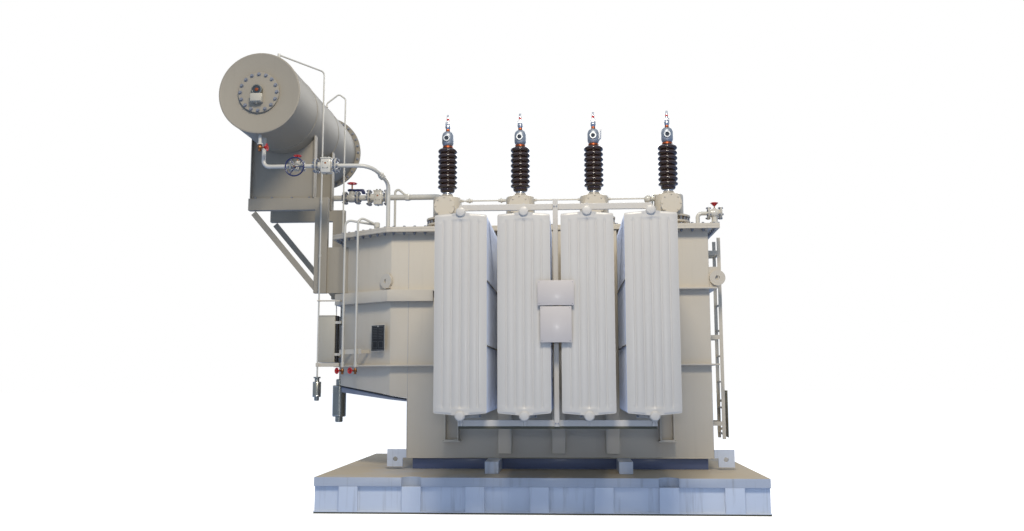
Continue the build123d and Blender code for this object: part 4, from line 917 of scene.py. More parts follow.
class TRANSFORMER_OT_radiators(bpy.types.Operator):
    """Build the panel radiators with their headers"""

    bl_idname = "transformer.radiators"
    bl_label = "Radiators"

    def execute(self, context):
        settings = context.scene.transformer_radiators
        outer = fluted_panel(settings)
        inner = grown(
            once(bank_tree),
            inner_panel(settings),
            Count=settings.count - 2,
            Pitch=settings.pitch,
            Start=settings.pitch,
            Finish=finish("panel"),
        )
        for count, x in enumerate(BANK_ROW, 1):
            for side, word in zip(SIDES, ("front", "rear")):
                place = side @ at(x, RADIATOR_FACE + 0.006, 0)
                self.bank(settings, outer, inner, place, f"radiator_{word}_{count}")
        return {"FINISHED"}

    def bank(self, settings, outer, inner, place, node):
        """One radiator: its panels, headers, spacer bars, lug and feet."""
        piece = Piece(node + "_bank", "radiator", "radiator_paint")
        last = (settings.count - 1) * settings.pitch
        piece.put(outer, place, place @ at(0, last, 0))
        # The inner panels take the lighter, bluer paint that stands for the light in the gaps.
        rows_behind = Piece(node + "_inner", "panel", "radiator_paint")
        rows_behind.put(inner, place)
        rows_behind.done()
        for z in HEADER_HEIGHTS:
            header = place @ at(0, 0, z) @ TO_BACK
            piece.turned(
                [(0.034, -0.036), (0.041, -0.033), (0.0445, -0.026), (0.0445, last + 0.05)], header, 32
            )
            piece.hoop(0.0455, 0.004, header @ at(0, 0, -0.021), 32, 8)
            piece.slab((-0.075, -0.075, last + 0.046), (0.075, 0.075, last + 0.062), 0.002, header)
        for z in SPACER_BARS:
            for x in (-0.2605, 0.2605):
                piece.slab((x - 0.002, 0.004, z - 0.007), (x + 0.002, last - 0.004, z + 0.007), 0, place)
        lug = [(-0.03, 3.08), (0.03, 3.08), (0.008, 3.128), (-0.008, 3.128)]
        piece.prism(lug, 0.008, place @ at(0, 0.02, 0) @ TO_FRONT)
        for x in (-0.02, 0.012):
            piece.slab((x, 0.005, 0.945), (x + 0.008, 0.055, 1.001), 0.001, place)
        piece.done(node)


class TRANSFORMER_OT_bushings(bpy.types.Operator):
    """Build the porcelain bushings with their heads and collars"""

    bl_idname = "transformer.bushings"
    bl_label = "Bushings"

    def execute(self, context):
        settings = context.scene.transformer_bushings
        foot = TURRET_TOP + 0.035
        porcelain = grown(
            once(shed_tree),
            Sheds=settings.sheds,
            Core=settings.core_radius,
            Shed=settings.shed_radius,
            Height=PORCELAIN_TOP - foot,
            Foot=0.056,
            Finish=finish("porcelain"),
        )
        body = Piece("hv_porcelain", "porcelain", "brown_porcelain")
        necks = Piece("hv_necks", "bright", "cap_aluminium")
        heads = Piece("hv_heads", "aluminium", "cap_aluminium")
        collars = Piece("hv_collars", "copper", "cap_aluminium")
        clamps = Piece("hv_clamps", "bright", "cap_aluminium")
        glasses = Piece("hv_sight_glasses", "glass", "cap_aluminium")
        bands = Piece("hv_stud_bands", "red", "red_wheel")
        for k, x in enumerate(HV_ROW):
            axis = at(x, BUSHING_Y, 0)
            body.put(porcelain, axis @ at(0, 0, foot))
            necks.turned([(0.062, 3.67), (0.062, 3.686), (0.056, 3.69), (0.054, 3.706)], axis)
            body.turned([(0.052, 3.7), (0.078, 3.708), (0.089, 3.722), (0.09, 3.75)], axis)
            collars.turned([(0.06, 4.272), (0.064, 4.276), (0.064, 4.292), (0.058, 4.298)], axis)
            self.head(heads, collars, clamps, glasses, bands, axis, k == 2)
        body.done("hv_insulators", weld=0.00001, crease=80)
        necks.done()
        heads.done("hv_caps")
        for piece in (collars, clamps, glasses, bands):
            piece.done()
        self.low_voltage()
        return {"FINISHED"}

    def head(self, heads, collars, clamps, glasses, bands, axis, horn):
        """The cast head, its sight port to the front, the terminal clamp and the stud."""
        cap = [(0, 4.296), (0.05, 4.296), (0.064, 4.312), (0.072, 4.335), (0.072, 4.43), (0.062, 4.462)]
        heads.lathe([*cap, (0.04, 4.482), (0, 4.486)], axis)
        port = axis @ at(-0.006, -0.06, 4.385) @ TO_FRONT
        heads.turned([(0.043, 0), (0.043, 0.026), (0.04, 0.03), (0.027, 0.03), (0.025, 0.02)], port, 32)
        glasses.disc(0.0245, 0.02, 0.0235, port, 0.001, 28)
        collars.turned([(0.022, 4.483), (0.025, 4.487), (0.025, 4.512), (0.021, 4.52)], axis, 28)
        clamps.turned([(0.024, 4.516), (0.033, 4.536), (0.034, 4.556), (0.028, 4.566)], axis, 28)
        clamps.slab((-0.03, -0.022, 4.56), (0.03, 0.022, 4.606), 0.006, axis)
        for side in (-0.019, 0.019):
            clamps.rod(0.008, -0.03, 0.03, axis @ at(side, 0, 4.583) @ TO_FRONT, 6)
        clamps.turned([(0.0145, 4.6), (0.0145, 4.694), (0.011, 4.7)], axis, 20)
        bands.rod(0.0165, 4.628, 4.652, axis, 20)
        if horn:
            prong = [(0.06, -0.02, 4.33), (0.088, -0.03, 4.36), (0.092, -0.03, 4.47)]
            clamps.tube(prong, 0.008, 0.02, 12, axis)

    def low_voltage(self):
        """The three low-voltage bushings, each on a flange of the cover."""
        low = Piece("lv_porcelain", "porcelain", "brown_porcelain")
        ends = Piece("lv_terminals", "copper", "cap_aluminium")
        flanges = Piece("lv_flanges", "fitting")
        bolts = Piece("lv_flange_bolts", "zinc", "cap_aluminium")
        short = grown(
            once(shed_tree), Sheds=4, Core=0.052, Shed=0.072, Height=0.315, Foot=0.045,
            Finish=finish("porcelain"),
        )
        for x in row_of(0.675, 0.955, 3):
            axis = at(x, 0.64, 0)
            flanges.disc(0.11, COVER_TOP, COVER_TOP + 0.02, axis)
            flanges.disc(0.07, COVER_TOP + 0.018, COVER_TOP + 0.062, axis, 0.006)
            low.put(short, axis @ at(0, 0, COVER_TOP + 0.06))
            bolt_ring(bolts, axis @ at(0, 0, COVER_TOP + 0.02), 0.092, 6, 0.02)
            stud = [(0, 3.548), (0.038, 3.548), (0.038, 3.574), (0.02, 3.58), (0.0145, 3.58), (0.0145, 3.636)]
            ends.lathe([*stud, (0, 3.64)], axis, 24)
        low.done("lv_bushings", weld=0.00001, crease=80)
        for piece in (ends, flanges, bolts):
            piece.done()


class TRANSFORMER_OT_steelwork(bpy.types.Operator):
    """Dress the welded steelwork: soft edges, round housings, weld seams, and painted shade on the base webs
    and the raised end's rim
    """

    bl_idname = "transformer.steelwork"
    bl_label = "Steelwork"

    PLATES = [
        ("plinth_deck", "deck", "plinth_paint", 0.004),
        ("plinth_side_beams", "plinth", "plinth_paint", 0.003),
        ("base_beams", "plinth", "plinth_paint", 0.004),
        ("tank_shell", "tank", "tank_paint", 0.008),
        ("tank_rim", "cover", "tank_paint", 0.002),
        ("tank_cover", "cover", "tank_paint", 0.002),
        ("tank_ribs", "tank", "tank_paint", 0.002),
        ("wall_stiffeners", "tank", "tank_paint", 0.005),
        ("jacking_brackets", "tank", "tank_paint", 0.002),
        ("lifting_lugs", "tank", "tank_paint", 0.003),
        ("pulling_lugs", "plinth", "tank_paint", 0.002),
        ("radiator_valves", "radiator", "radiator_paint", 0.003),
        ("tie_frames", "radiator", "radiator_paint", 0.003),
        ("saddles", "conservator", "conservator_paint", 0.002),
        ("support_frames", "conservator", "conservator_paint", 0.003),
        ("clamp_bar", "tank", "tank_paint", 0.001),
        ("pipe_brackets", "tank", "tank_paint", 0.001),
        ("ladder", "tank", "tank_paint", 0.002),
    ]

    def execute(self, context):
        for node, coat, slot, edge in self.PLATES:
            piece = Piece(node + "_plates", coat, slot)
            piece.copy(node, edge)
            piece.done(node, crease=22)
        self.housings()
        self.beams()
        self.sill_painted_shade()
        self.seams()
        return {"FINISHED"}

    def housings(self):
        """The bushings' round housings: flanges on the cover, a drum, and a round cover plate in front."""
        drums = Piece("turret_drums", "tank")
        for x in HV_ROW:
            axis = at(x, BUSHING_Y, 0)
            drums.turned([(0.2, COVER_TOP), (0.2, 3.28), (0.19, 3.29), (0.19, 3.35)], axis, 56)
            drums.disc(0.255, 3.274, 3.296, axis, 0.002, 64)
            drums.disc(0.255, 3.341, 3.3645, axis, 0.002, 64)
            drums.turned([(0.1765, 3.36), (0.1765, 3.614), (0.172, 3.626), (0.064, 3.68)], axis, 72)
            front = at(x, BUSHING_Y, HOUSING_AXIS) @ TO_FRONT
            drums.rod(0.112, 0.1, 0.28, front, 48)
            drums.disc(0.127, 0.25, 0.273, front, 0.002, 64)
            drums.disc(0.127, 0.275, 0.298, front, 0.003, 64)
        drums.done("turrets")

    def beams(self):
        """Dark blue sheets under the tank as painted shade in front of the base beams' webs, a dark strip
        along the plinth's foot, dark strips under the lower tie bars as painted shadow, and the header
        hangers.
        """
        # Thin dark blue sheets just in front of the base beams' webs: painted shade, not a part of the beams.
        web_shades = Piece("base_web_shades", "web_shade")
        stops = (TANK_LEFT + 0.06, TANK_MIDDLE.x - 0.7285, TANK_MIDDLE.x + 0.7285, TANK_RIGHT - 0.06)
        for side in SIDES:
            for k, (start, stop) in enumerate(zip(stops, stops[1:])):
                start += 0.0765 if k else 0.002
                stop -= 0.0765 if k < 2 else 0.002
                far = (stop, TANK_FRONT + 0.0595, 0.502)
                web_shades.slab((start, TANK_FRONT + 0.057, 0.378), far, 0.0005, side)
        web_shades.done()
        # A dark strip along the plinth's foot, at the floor.
        foot = Piece("plinth_foot_edge", "dark_edge", "plinth_paint")
        low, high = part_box("plinth_side_beams")
        for y in (low[1] - 0.0015, high[1] - 0.002):
            foot.slab((low[0], y, 0.0), (high[0], y + 0.0035, 0.016), 0.0005)
        foot.done()
        low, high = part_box("tie_frames")
        # Dark strips under the lower tie bars: painted shadow below the bars.
        shadow_strips = Piece("tie_bar_shadow_strips", "dark_edge", "radiator_paint")
        hangers = Piece("header_hangers", "radiator", "radiator_paint")
        for side in SIDES:
            near = (low[0] + 0.004, low[1] + 0.026, low[2] - 0.024)
            shadow_strips.slab(near, (high[0] - 0.004, low[1] + 0.056, low[2]), 0.001, side)
            for x in BANK_ROW:
                near = (x - 0.013, low[1] + 0.022, low[2] + 0.012)
                hangers.slab(near, (x + 0.013, low[1] + 0.03, HEADER_HEIGHTS[0] - 0.03), 0.001, side)
        shadow_strips.done()
        hangers.done()

    def sill_painted_shade(self):
        """The rim under the raised end: a black strip as a painted shadow gap, and a plate set back from the
        walls whose darker bluish paint is painted shade.
        """
        # The black strip stands for a painted shadow gap; the plate's darker bluish paint is painted shade.
        for name, coat, inset, top, drops in (
            ("end_shadow_gap", "rubber", 0.008, -0.004, (0.012, 0.01)),
            ("end_sill_shade", "sill_painted_shade", 0.014, 0.012, (0.075, 0.03)),
        ):
            rim = Piece(name, coat, "tank_paint")
            wall = TANK_MIDDLE.y - TANK_FRONT - inset
            plan = [(END_LEFT + inset, END_HALF - inset * 0.6), (END_BEND, wall), (TANK_LEFT + 0.01, wall)]
            walls = [(x, -half) for x, half in plan[::-1]] + plan
            rings = []
            for x, half in walls:
                share = (x - END_LEFT) / (TANK_LEFT - END_LEFT)
                height = END_FLOOR[0] + (END_FLOOR[1] - END_FLOOR[0]) * share
                drop = drops[0] + (drops[1] - drops[0]) * share
                y = TANK_MIDDLE.y + half
                back = TANK_MIDDLE.y + half * 0.97
                inner = x + 0.012
                upper, lower = height - top, height - drop
                spots = ((x, y, upper), (x, y, lower), (inner, back, lower), (inner, back, upper))
                rings.append([rim.shape.verts.new(spot) for spot in spots])
            for low, high in zip(rings, rings[1:]):
                for k in range(4):
                    rim.shape.faces.new((low[k], low[(k + 1) % 4], high[(k + 1) % 4], high[k]))
            rim.shape.faces.new(rings[0][::-1])
            rim.shape.faces.new(rings[-1])
            rim.done()

    def seams(self):
        """Weld beads where the plates meet."""
        welds = Piece("weld_seams", "tank")
        # The corner welds take the cooler radiator paint: a painted highlight along the tank's corners.
        corners = Piece("corner_seam_highlights", "radiator")
        for side in SIDES:
            corners.tube([(TANK_LEFT, TANK_FRONT, 0.51), (TANK_LEFT, TANK_FRONT, 3.11)], 0.005, 0, 8, side)
            welds.tube([(TANK_LEFT, TANK_FRONT, 0.506), (TANK_RIGHT, TANK_FRONT, 0.506)], 0.007, 0, 8, side)
            for z in (RIM_LOW, 2.42, 1.548):
                corner = END_BEND - 0.002
                end = (END_LEFT, TANK_MIDDLE.y - END_HALF, z)
                run = [(TANK_RIGHT, TANK_FRONT, z), (corner, TANK_FRONT, z), end]
                welds.tube(run, 0.006, 0, 8, side)
            for x in row_of(TANK_MIDDLE.x, 0.61, 3):
                for edge in (-0.0775, 0.0775):
                    run = [(x + edge, TANK_FRONT, 0.557), (x + edge, TANK_FRONT, 3.11)]
                    welds.tube(run, 0.006, 0, 8, side)
        for x in HV_ROW:
            welds.hoop(0.2, 0.006, at(x, BUSHING_Y, 3.178), 48, 8)
            welds.hoop(0.1765, 0.006, at(x, BUSHING_Y, 3.366), 48, 8)
        welds.done()
        corners.done()


class TRANSFORMER_OT_conservator(bpy.types.Operator):
    """Build the conservator with its covers, seams and level gauge"""

    bl_idname = "transformer.conservator"
    bl_label = "Conservator"

    def execute(self, context):
        front = CONSERVATOR.y - CONSERVATOR_HALF
        along = at(CONSERVATOR.x, front, CONSERVATOR.z) @ TO_BACK
        length = 2 * CONSERVATOR_HALF
        shell = Piece("conservator_drum", "conservator", "conservator_paint")
        rim = [(0.455, 0.004), (0.464, 0), (CONSERVATOR_R, 0.003), (CONSERVATOR_R, length)]
        shell.turned(rim, along, 96)
        for y in MANHOLES:
            shell.disc(0.04, 5.15, 5.205, at(CONSERVATOR.x, y, 0), 0.003, 28)
        shell.done("conservator_shell")
        self.seams(front)
        self.covers(along, length)
        self.gauge(front - 0.024)
        return {"FINISHED"}

    def seams(self, front):
        seams = Piece("conservator_seams", "conservator", "conservator_paint")
        for y in (front + 0.006, -0.47, 0.59, 1.606):
            seams.hoop(CONSERVATOR_R, 0.005, at(CONSERVATOR.x, y, CONSERVATOR.z) @ TO_BACK, 96, 8)
        for y in MANHOLES:
            seams.hoop(0.041, 0.005, at(CONSERVATOR.x, y, 5.165), 28, 8)
        seams.done()

    def covers(self, along, length):
        covers = Piece("conservator_lids", "conservator", "conservator_paint")
        bolts = Piece("conservator_lid_bolts", "zinc", "cap_aluminium")
        lid = along @ at(0, 0, -0.024)
        covers.disc(0.24, 0, 0.024, lid, 0.003, 72)
        bolt_ring(bolts, lid @ TO_FLOOR, 0.2145, 16, 0.027)
        rear = along @ at(0, 0, length)
        covers.disc(0.535, 0, 0.02, rear, 0.002, 96)
        covers.disc(0.535, 0.02, 0.04, rear, 0.002, 96)
        bolt_ring(bolts, rear @ at(0, 0, 0.04), 0.505, 32, 0.024, 0.04)
        for y in MANHOLES:
            bolts.rod(0.026, 5.2, 5.21, at(CONSERVATOR.x, y, 0), 6)
        covers.done("conservator_covers")
        bolts.done()

    def gauge(self, y):
        """The round level gauge over its junction box."""
        dial = at(-3.23, y, 4.708) @ TO_FRONT
        case = Piece("gauge_case", "dark steel", "cabinet_paint")
        wall = [(0.058, 0), (0.062, 0.006), (0.062, 0.05), (0.057, 0.055), (0.049, 0.055), (0.048, 0.046)]
        case.turned(wall, dial, 48)
        case.done("level_gauge")
        face = Piece("gauge_face", "glass", "cabinet_paint")
        face.disc(0.0485, 0.044, 0.048, dial, 0.001, 40)
        face.done()
        needle = Piece("gauge_centre", "copper", "cap_aluminium")
        needle.turned([(0.022, 0.046), (0.02, 0.053), (0.009, 0.055)], dial, 32)
        needle.done()
        box = Piece("gauge_box", "cabinet", "cabinet_paint")
        box.slab((-3.297, y - 0.072, 4.56), (-3.162, y, 4.66), 0.006)
        box.slab((-3.291, y - 0.08, 4.566), (-3.168, y - 0.07, 4.654), 0.003)
        box.rod(0.013, 0, 0.02, at(-3.23, y - 0.04, 4.545), 16)
        box.done()


class TRANSFORMER_OT_pipework(bpy.types.Operator):
    """Build the oil, gas and breather pipes with their valves and relays"""

    bl_idname = "transformer.pipework"
    bl_label = "Pipework"

    RELAYS = [
        (at(-2.228, *MAIN_VALVE[1:]), 0.128, 0.112, 0.057, 0.1),
        (at(-2.473, *TAP_VALVE[1:]), 0.126, 0.088, 0.059, 0.091),
    ]

    def execute(self, context):
        self.bolts = Piece("pipe_bolts", "zinc", "cap_aluminium")
        self.main_pipe()
        self.tap_pipe()
        self.gas_pipes()
        self.relief()
        self.breathing()
        self.drains()
        self.valves()
        self.relays()
        self.vent()
        self.bolts.done()
        return {"FINISHED"}

    def flange_pair(self, piece, place, radius, thick):
        """Two flanges face to face, with their bolts."""
        piece.disc(radius, -thick, -0.001, place, 0.002, 36)
        piece.disc(radius, 0.001, thick, place, 0.002, 36)
        across = 0.019 if radius < 0.08 else 0.024
        count = 4 if radius < 0.08 else 8
        face = place @ at(0, 0, thick) @ spun(22.5)
        bolt_ring(self.bolts, face, radius - across * 0.72, count, across, 2 * thick)

    def main_pipe(self):
        """The pipe from the conservator to the tank, with its thin by-pass."""
        y, z = MAIN_VALVE[1:]
        run = Piece("main_pipe_run", "pipe", "pipe_paint")
        run.tube([(-3.222, y, 4.24), (-3.222, y, z), (-2.66, y, z)], 0.038, 0.12, 24)
        run.tube([(-2.52, y, z), (-2.33, y, z)], 0.038, 0, 24)
        run.tube([(-2.13, y, z), (-1.315, y, z), (-1.315, y, COVER_TOP)], 0.038, 0.12, 24)
        run.tube([(-1.998, y, COVER_TOP), (-1.998, y, 3.99), (-1.82, y, z)], 0.016, 0.04, 16)
        run.disc(0.082, COVER_TOP, COVER_TOP + 0.018, at(-1.315, y, 0))
        run.disc(0.036, COVER_TOP, COVER_TOP + 0.014, at(-1.998, y, 0))
        bolt_ring(self.bolts, at(-1.315, y, COVER_TOP + 0.018), 0.064, 8, 0.02)
        for x in (-1.86, -1.79):
            run.hoop(0.038, 0.005, at(x, y, z) @ TO_RIGHT, 32, 8)
        run.slab((-1.862, y - 0.045, z - 0.04), (-1.8, y + 0.045, z + 0.04), 0.008)
        run.done("main_pipe")

    def tap_pipe(self):
        """The pipe from the conservator to the tap changer's compartment."""
        y, z = TAP_VALVE[1:]
        run = Piece("tap_pipe_run", "pipe", "pipe_paint")
        run.tube([(-3.222, y, 4.24), (-3.222, y, z), (-2.87, y, z)], 0.024, 0.07, 20)
        run.tube([(-2.77, y, z), (-2.58, y, z)], 0.024, 0, 20)
        high, low = Vector((-1.95, y + 0.03, z)), Vector((-1.813, -0.66, 3.734))
        foot = (-1.816, -0.62)
        run.tube([(-2.36, y, z), high, low, (*foot, 3.6), (*foot, COVER_TOP)], 0.024, 0.24, 20)
        run.disc(0.058, COVER_TOP, COVER_TOP + 0.014, at(*foot, 0))
        bolt_ring(self.bolts, at(*foot, COVER_TOP + 0.014), 0.044, 6, 0.016)
        turn = (low - high).to_track_quat("Z", "Y").to_matrix().to_4x4()
        union = Matrix.Translation(high.lerp(low, 0.6)) @ turn
        run.rod(0.034, -0.04, -0.012, union, 6)
        run.turned([(0.04, -0.012), (0.04, 0.03), (0.03, 0.036)], union, 24)
        run.done("tap_pipe")

    def gas_pipes(self):
        """The thin pipes from housing to housing, with a cock between the first two and the middle ones."""
        gas = Piece("gas_pipe_runs", "pipe", "pipe_paint")
        for left, right in zip(HV_ROW, HV_ROW[1:]):
            gas.tube([(left + 0.17, BUSHING_Y, GAS_PIPE), (right - 0.17, BUSHING_Y, GAS_PIPE)], 0.009)
            for x in (left + 0.188, right - 0.188):
                gas.rod(0.017, -0.014, 0.014, at(x, BUSHING_Y, GAS_PIPE) @ TO_RIGHT, 6)
        for x in (-0.888, -0.491):
            cock = [(0.02, -0.038), (0.02, -0.014), (0.03, -0.01), (0.03, 0.01), (0.02, 0.014), (0.02, 0.038)]
            gas.turned(cock, at(x, BUSHING_Y, GAS_PIPE) @ TO_RIGHT, 20)
            gas.disc(0.012, 0, 0.03, at(x, BUSHING_Y, GAS_PIPE), 0.002, 16)
        gas.done("gas_pipe")

    def relief(self):
        """The pressure relief fitting beside the last housing, on its plate."""
        x = HV_ROW[-1]
        relief = Piece("relief_fitting", "casting", "pipe_paint")
        dome = [
            (0, -0.298), (0.024, -0.295), (0.042, -0.282), (0.05, -0.262), (0.051, -0.236), (0.04, -0.222)
        ]
        dome += [(0.026, -0.214), (0.026, -0.165), (0, -0.165)]
        relief.lathe(dome, at(x, BUSHING_Y, 3.588) @ TO_RIGHT, 32)
        relief.done()
        plate = Piece("relief_plate", "dark steel", "pipe_paint")
        plate.slab((x - 0.204, BUSHING_Y - 0.05, 3.505), (x - 0.192, BUSHING_Y + 0.05, 3.632), 0.002)
        plate.tube([(x - 0.2, BUSHING_Y, 3.628), (x - 0.15, BUSHING_Y, 3.645)], 0.007)
        plate.done()

    def breathing(self):
        """The pipes from the conservator down to its breathers."""
        breathing = Piece("breather_pipe_runs", "pipe", "pipe_paint")
        cap = [(0.026, 5.1), (0.026, 5.22), (0.018, 5.24), (0.018, 5.275)]
        breathing.turned(cap, at(-3.11, -0.9, 0), 24)
        x, y = SMALL_BREATHER
        breathing.tube([(-3.11, -0.9, 5.262), (x, y, 5.23), (x, y, 1.42)], 0.01, 0.05)
        x, y = LARGE_BREATHER
        over = [(-2.83, y, 4.97), (-2.846, y, 5.02), (-2.68, y, 5.15), (x, y, 5.08), (x, y, 1.4)]
        breathing.tube(over, 0.01, 0.045)
        for place in (SMALL_BREATHER, LARGE_BREATHER):
            for z in (4.1, 3.567, 2.9):
                breathing.rod(0.015, -0.016, 0.016, at(*place, z), 6)
        breathing.done("breather_pipes")

    def drains(self):
        """The tubes down the bevelled wall and the conservator's drain, each with a brass valve."""
        tubes = Piece("drain_tube_runs", "pipe", "pipe_paint")
        valves = Piece("drain_valves", "brass", "valve_grey")
        end = (0.54, 0.056, COVER_TOP + 0.082)
        for along, top in ((0.224, 0.15), (0.452, 0.17)):
            run = [(along, -0.17, 1.53), (along, -0.17, COVER_TOP + top), end]
            tubes.tube(run, 0.014, 0.065, 16, on_bevel(0, 0, 0))
            foot = on_bevel(along, 0.17, 0)
            tubes.rod(0.021, 1.545, 1.6, foot, 6)
            self.small_valve(valves, foot @ at(0, 0, 1.5), TO_FRONT, 0.022, 0.042)
        fitting = on_bevel(0.54, -0.056, COVER_TOP)
        union = [
            (0.055, 0), (0.055, 0.014), (0.03, 0.016), (0.03, 0.05), (0.036, 0.056), (0.036, 0.104),
            (0.028, 0.112),
        ]
        tubes.turned(union, fitting, 28)
        bolt_ring(self.bolts, fitting @ at(0, 0, 0.014), 0.043, 6, 0.012)
        tubes.done("drain_tubes")
        valves.done()
        x, y, z = DRAIN_VALVE
        drain = Piece("conservator_drain_run", "pipe", "pipe_paint")
        drain.tube([(x, y, 4.24), (x, y, 4.1)], 0.02, 0, 20)
        drain.rod(0.03, 4.098, 4.112, at(x, y, 0), 24)
        drain.done()
        brass = Piece("conservator_drain_valve", "brass", "valve_grey")
        self.small_valve(brass, at(x, y, z), TO_RIGHT, 0.028, 0.045)
        brass.done("conservator_drain")

    def small_valve(self, piece, place, aside, half, tall):
        """A brass valve on an upright pipe, its stem to one side."""
        piece.rod(half * 0.7, -tall, -tall * 0.55, place, 6)
        piece.rod(half * 0.7, tall * 0.55, tall, place, 6)
        ball = ((0.55, -0.6), (0.95, -0.2), (0.95, 0.2), (0.55, 0.6))
        piece.turned([(half * r, tall * z) for r, z in ball], place, 20)
        bonnet = [(half * 0.72, 0), (half * 0.72, half * 0.95), (0.009, half), (0.009, half * 1.2)]
        piece.turned(bonnet, place @ aside, 16)

    def flanged_valve(self, piece, place, half, flange, body):
        """A gate valve along the place's Z axis, without its bonnet."""
        swell = ((0.72, -1), (0.72, -0.7), (1, -0.3), (1, 0.3), (0.72, 0.7), (0.72, 1))
        piece.turned([(body * r, half * z) for r, z in swell], place, 36)
        for side in (-1, 1):
            self.flange_pair(piece, place @ at(0, 0, side * (half - 0.011)), flange, 0.011)

    def valves(self):
        cast = Piece("valve_castings", "fitting", "valve_grey")
        self.flanged_valve(cast, at(*MAIN_VALVE) @ TO_RIGHT, 0.098, 0.088, 0.06)
        bonnet = [(0.04, 0.02), (0.04, 0.088), (0.026, 0.09), (0.026, 0.118), (0.022, 0.122)]
        cast.turned([*bonnet, (0.0105, 0.122), (0.0105, 0.03)], at(*MAIN_VALVE), 28)
        self.flanged_valve(cast, at(*TAP_VALVE) @ TO_RIGHT, 0.08, 0.062, 0.04)
        stem = [(0.03, 0.01), (0.03, 0.04), (0.024, 0.044), (0.02, 0.06), (0.0075, 0.06), (0.0075, 0.03)]
        cast.turned(stem, at(*TAP_VALVE), 24)
        boss = at(*TAP_VALVE) @ at(0, 0, -0.03) @ TO_FRONT
        gland = [(0.034, 0), (0.034, 0.045), (0.024, 0.05), (0.024, 0.07), (0.0075, 0.07), (0.0075, 0.04)]
        cast.turned(gland, boss, 24)
        cast.done("pipe_valves")

    def relays(self):
        """The gas relays: flanges, a box with a lid, and a window on both long sides."""
        cast = Piece("relay_castings", "casting", "valve_grey")
        windows = Piece("relay_windows", "amber", "valve_grey")
        fittings = Piece("relay_fittings", "dark steel", "valve_grey")
        for place, half, flange, wide, tall in self.RELAYS:
            axis = place @ TO_RIGHT
            cast.rod(flange * 0.5, -half, half, axis, 32)
            for side in (-1, 1):
                self.flange_pair(cast, axis @ at(0, 0, side * (half - 0.009)), flange, 0.009)
            lip = wide + 0.004
            cast.slab((-wide, -wide, -tall), (wide, wide, tall - 0.016), 0.012, place)
            cast.slab((-lip, -lip, tall - 0.018), (lip, lip, tall - 0.004), 0.003, place)
            for turn in (180, 0):
                front = place @ spun(turn) @ at(0, -wide, 0) @ TO_FRONT
                bezel = [(-0.034, -0.04), (0.034, -0.04), (0.034, 0.04), (-0.034, 0.04)]
                cast.prism(bezel, 0.006, front, 0.002)
                windows.prism([(-0.011, 0.01), (0.011, 0.01), (0.011, 0.03), (-0.011, 0.03)], 0.0075, front)
                for u in (-0.028, 0.028):
                    for v in (-0.034, 0.034):
                        fittings.rod(0.005, 0.005, 0.01, front @ at(u, v, 0), 6)
            knob = [(0, 0), (0.008, 0), (0.008, 0.012), (0.012, 0.014), (0.012, 0.026), (0, 0.03)]
            for side in (-0.022, 0.022):
                fittings.lathe(knob, place @ at(side, 0, tall - 0.006), 16)
            fittings.rod(0.01, 0, 0.014, place @ at(0, 0, -tall) @ TO_FLOOR, 6)
        cast.done("gas_relays")
        windows.done()
        fittings.done()

    def vent(self):
        x, y, z = VENT_VALVE
        run = Piece("vent_pipe", "pipe", "pipe_paint")
        run.tube([(x - 0.199, y, COVER_TOP), (x - 0.199, y, z), (x - 0.06, y, z)], 0.024, 0.05, 20)
        run.disc(0.056, COVER_TOP, COVER_TOP + 0.014, at(x - 0.199, y, 0))
        bolt_ring(self.bolts, at(x - 0.199, y, COVER_TOP + 0.014), 0.043, 4, 0.016)
        run.done("vent_valve")
        cast = Piece("vent_valve_casting", "casting", "pipe_paint")
        self.flanged_valve(cast, at(x, y, z) @ TO_RIGHT, 0.082, 0.076, 0.056)
        stem = [(0.048, 0), (0.048, 0.024), (0.03, 0.028), (0.03, 0.044), (0.021, 0.05)]
        cast.turned([*stem, (0.017, 0.062), (0.0075, 0.062), (0.0075, 0.03)], at(x, y, z), 28)
        cast.turned([(0.056, -0.125), (0.056, -0.108), (0.036, -0.102), (0.036, 0)], at(x, y, z), 32)
        cast.done()


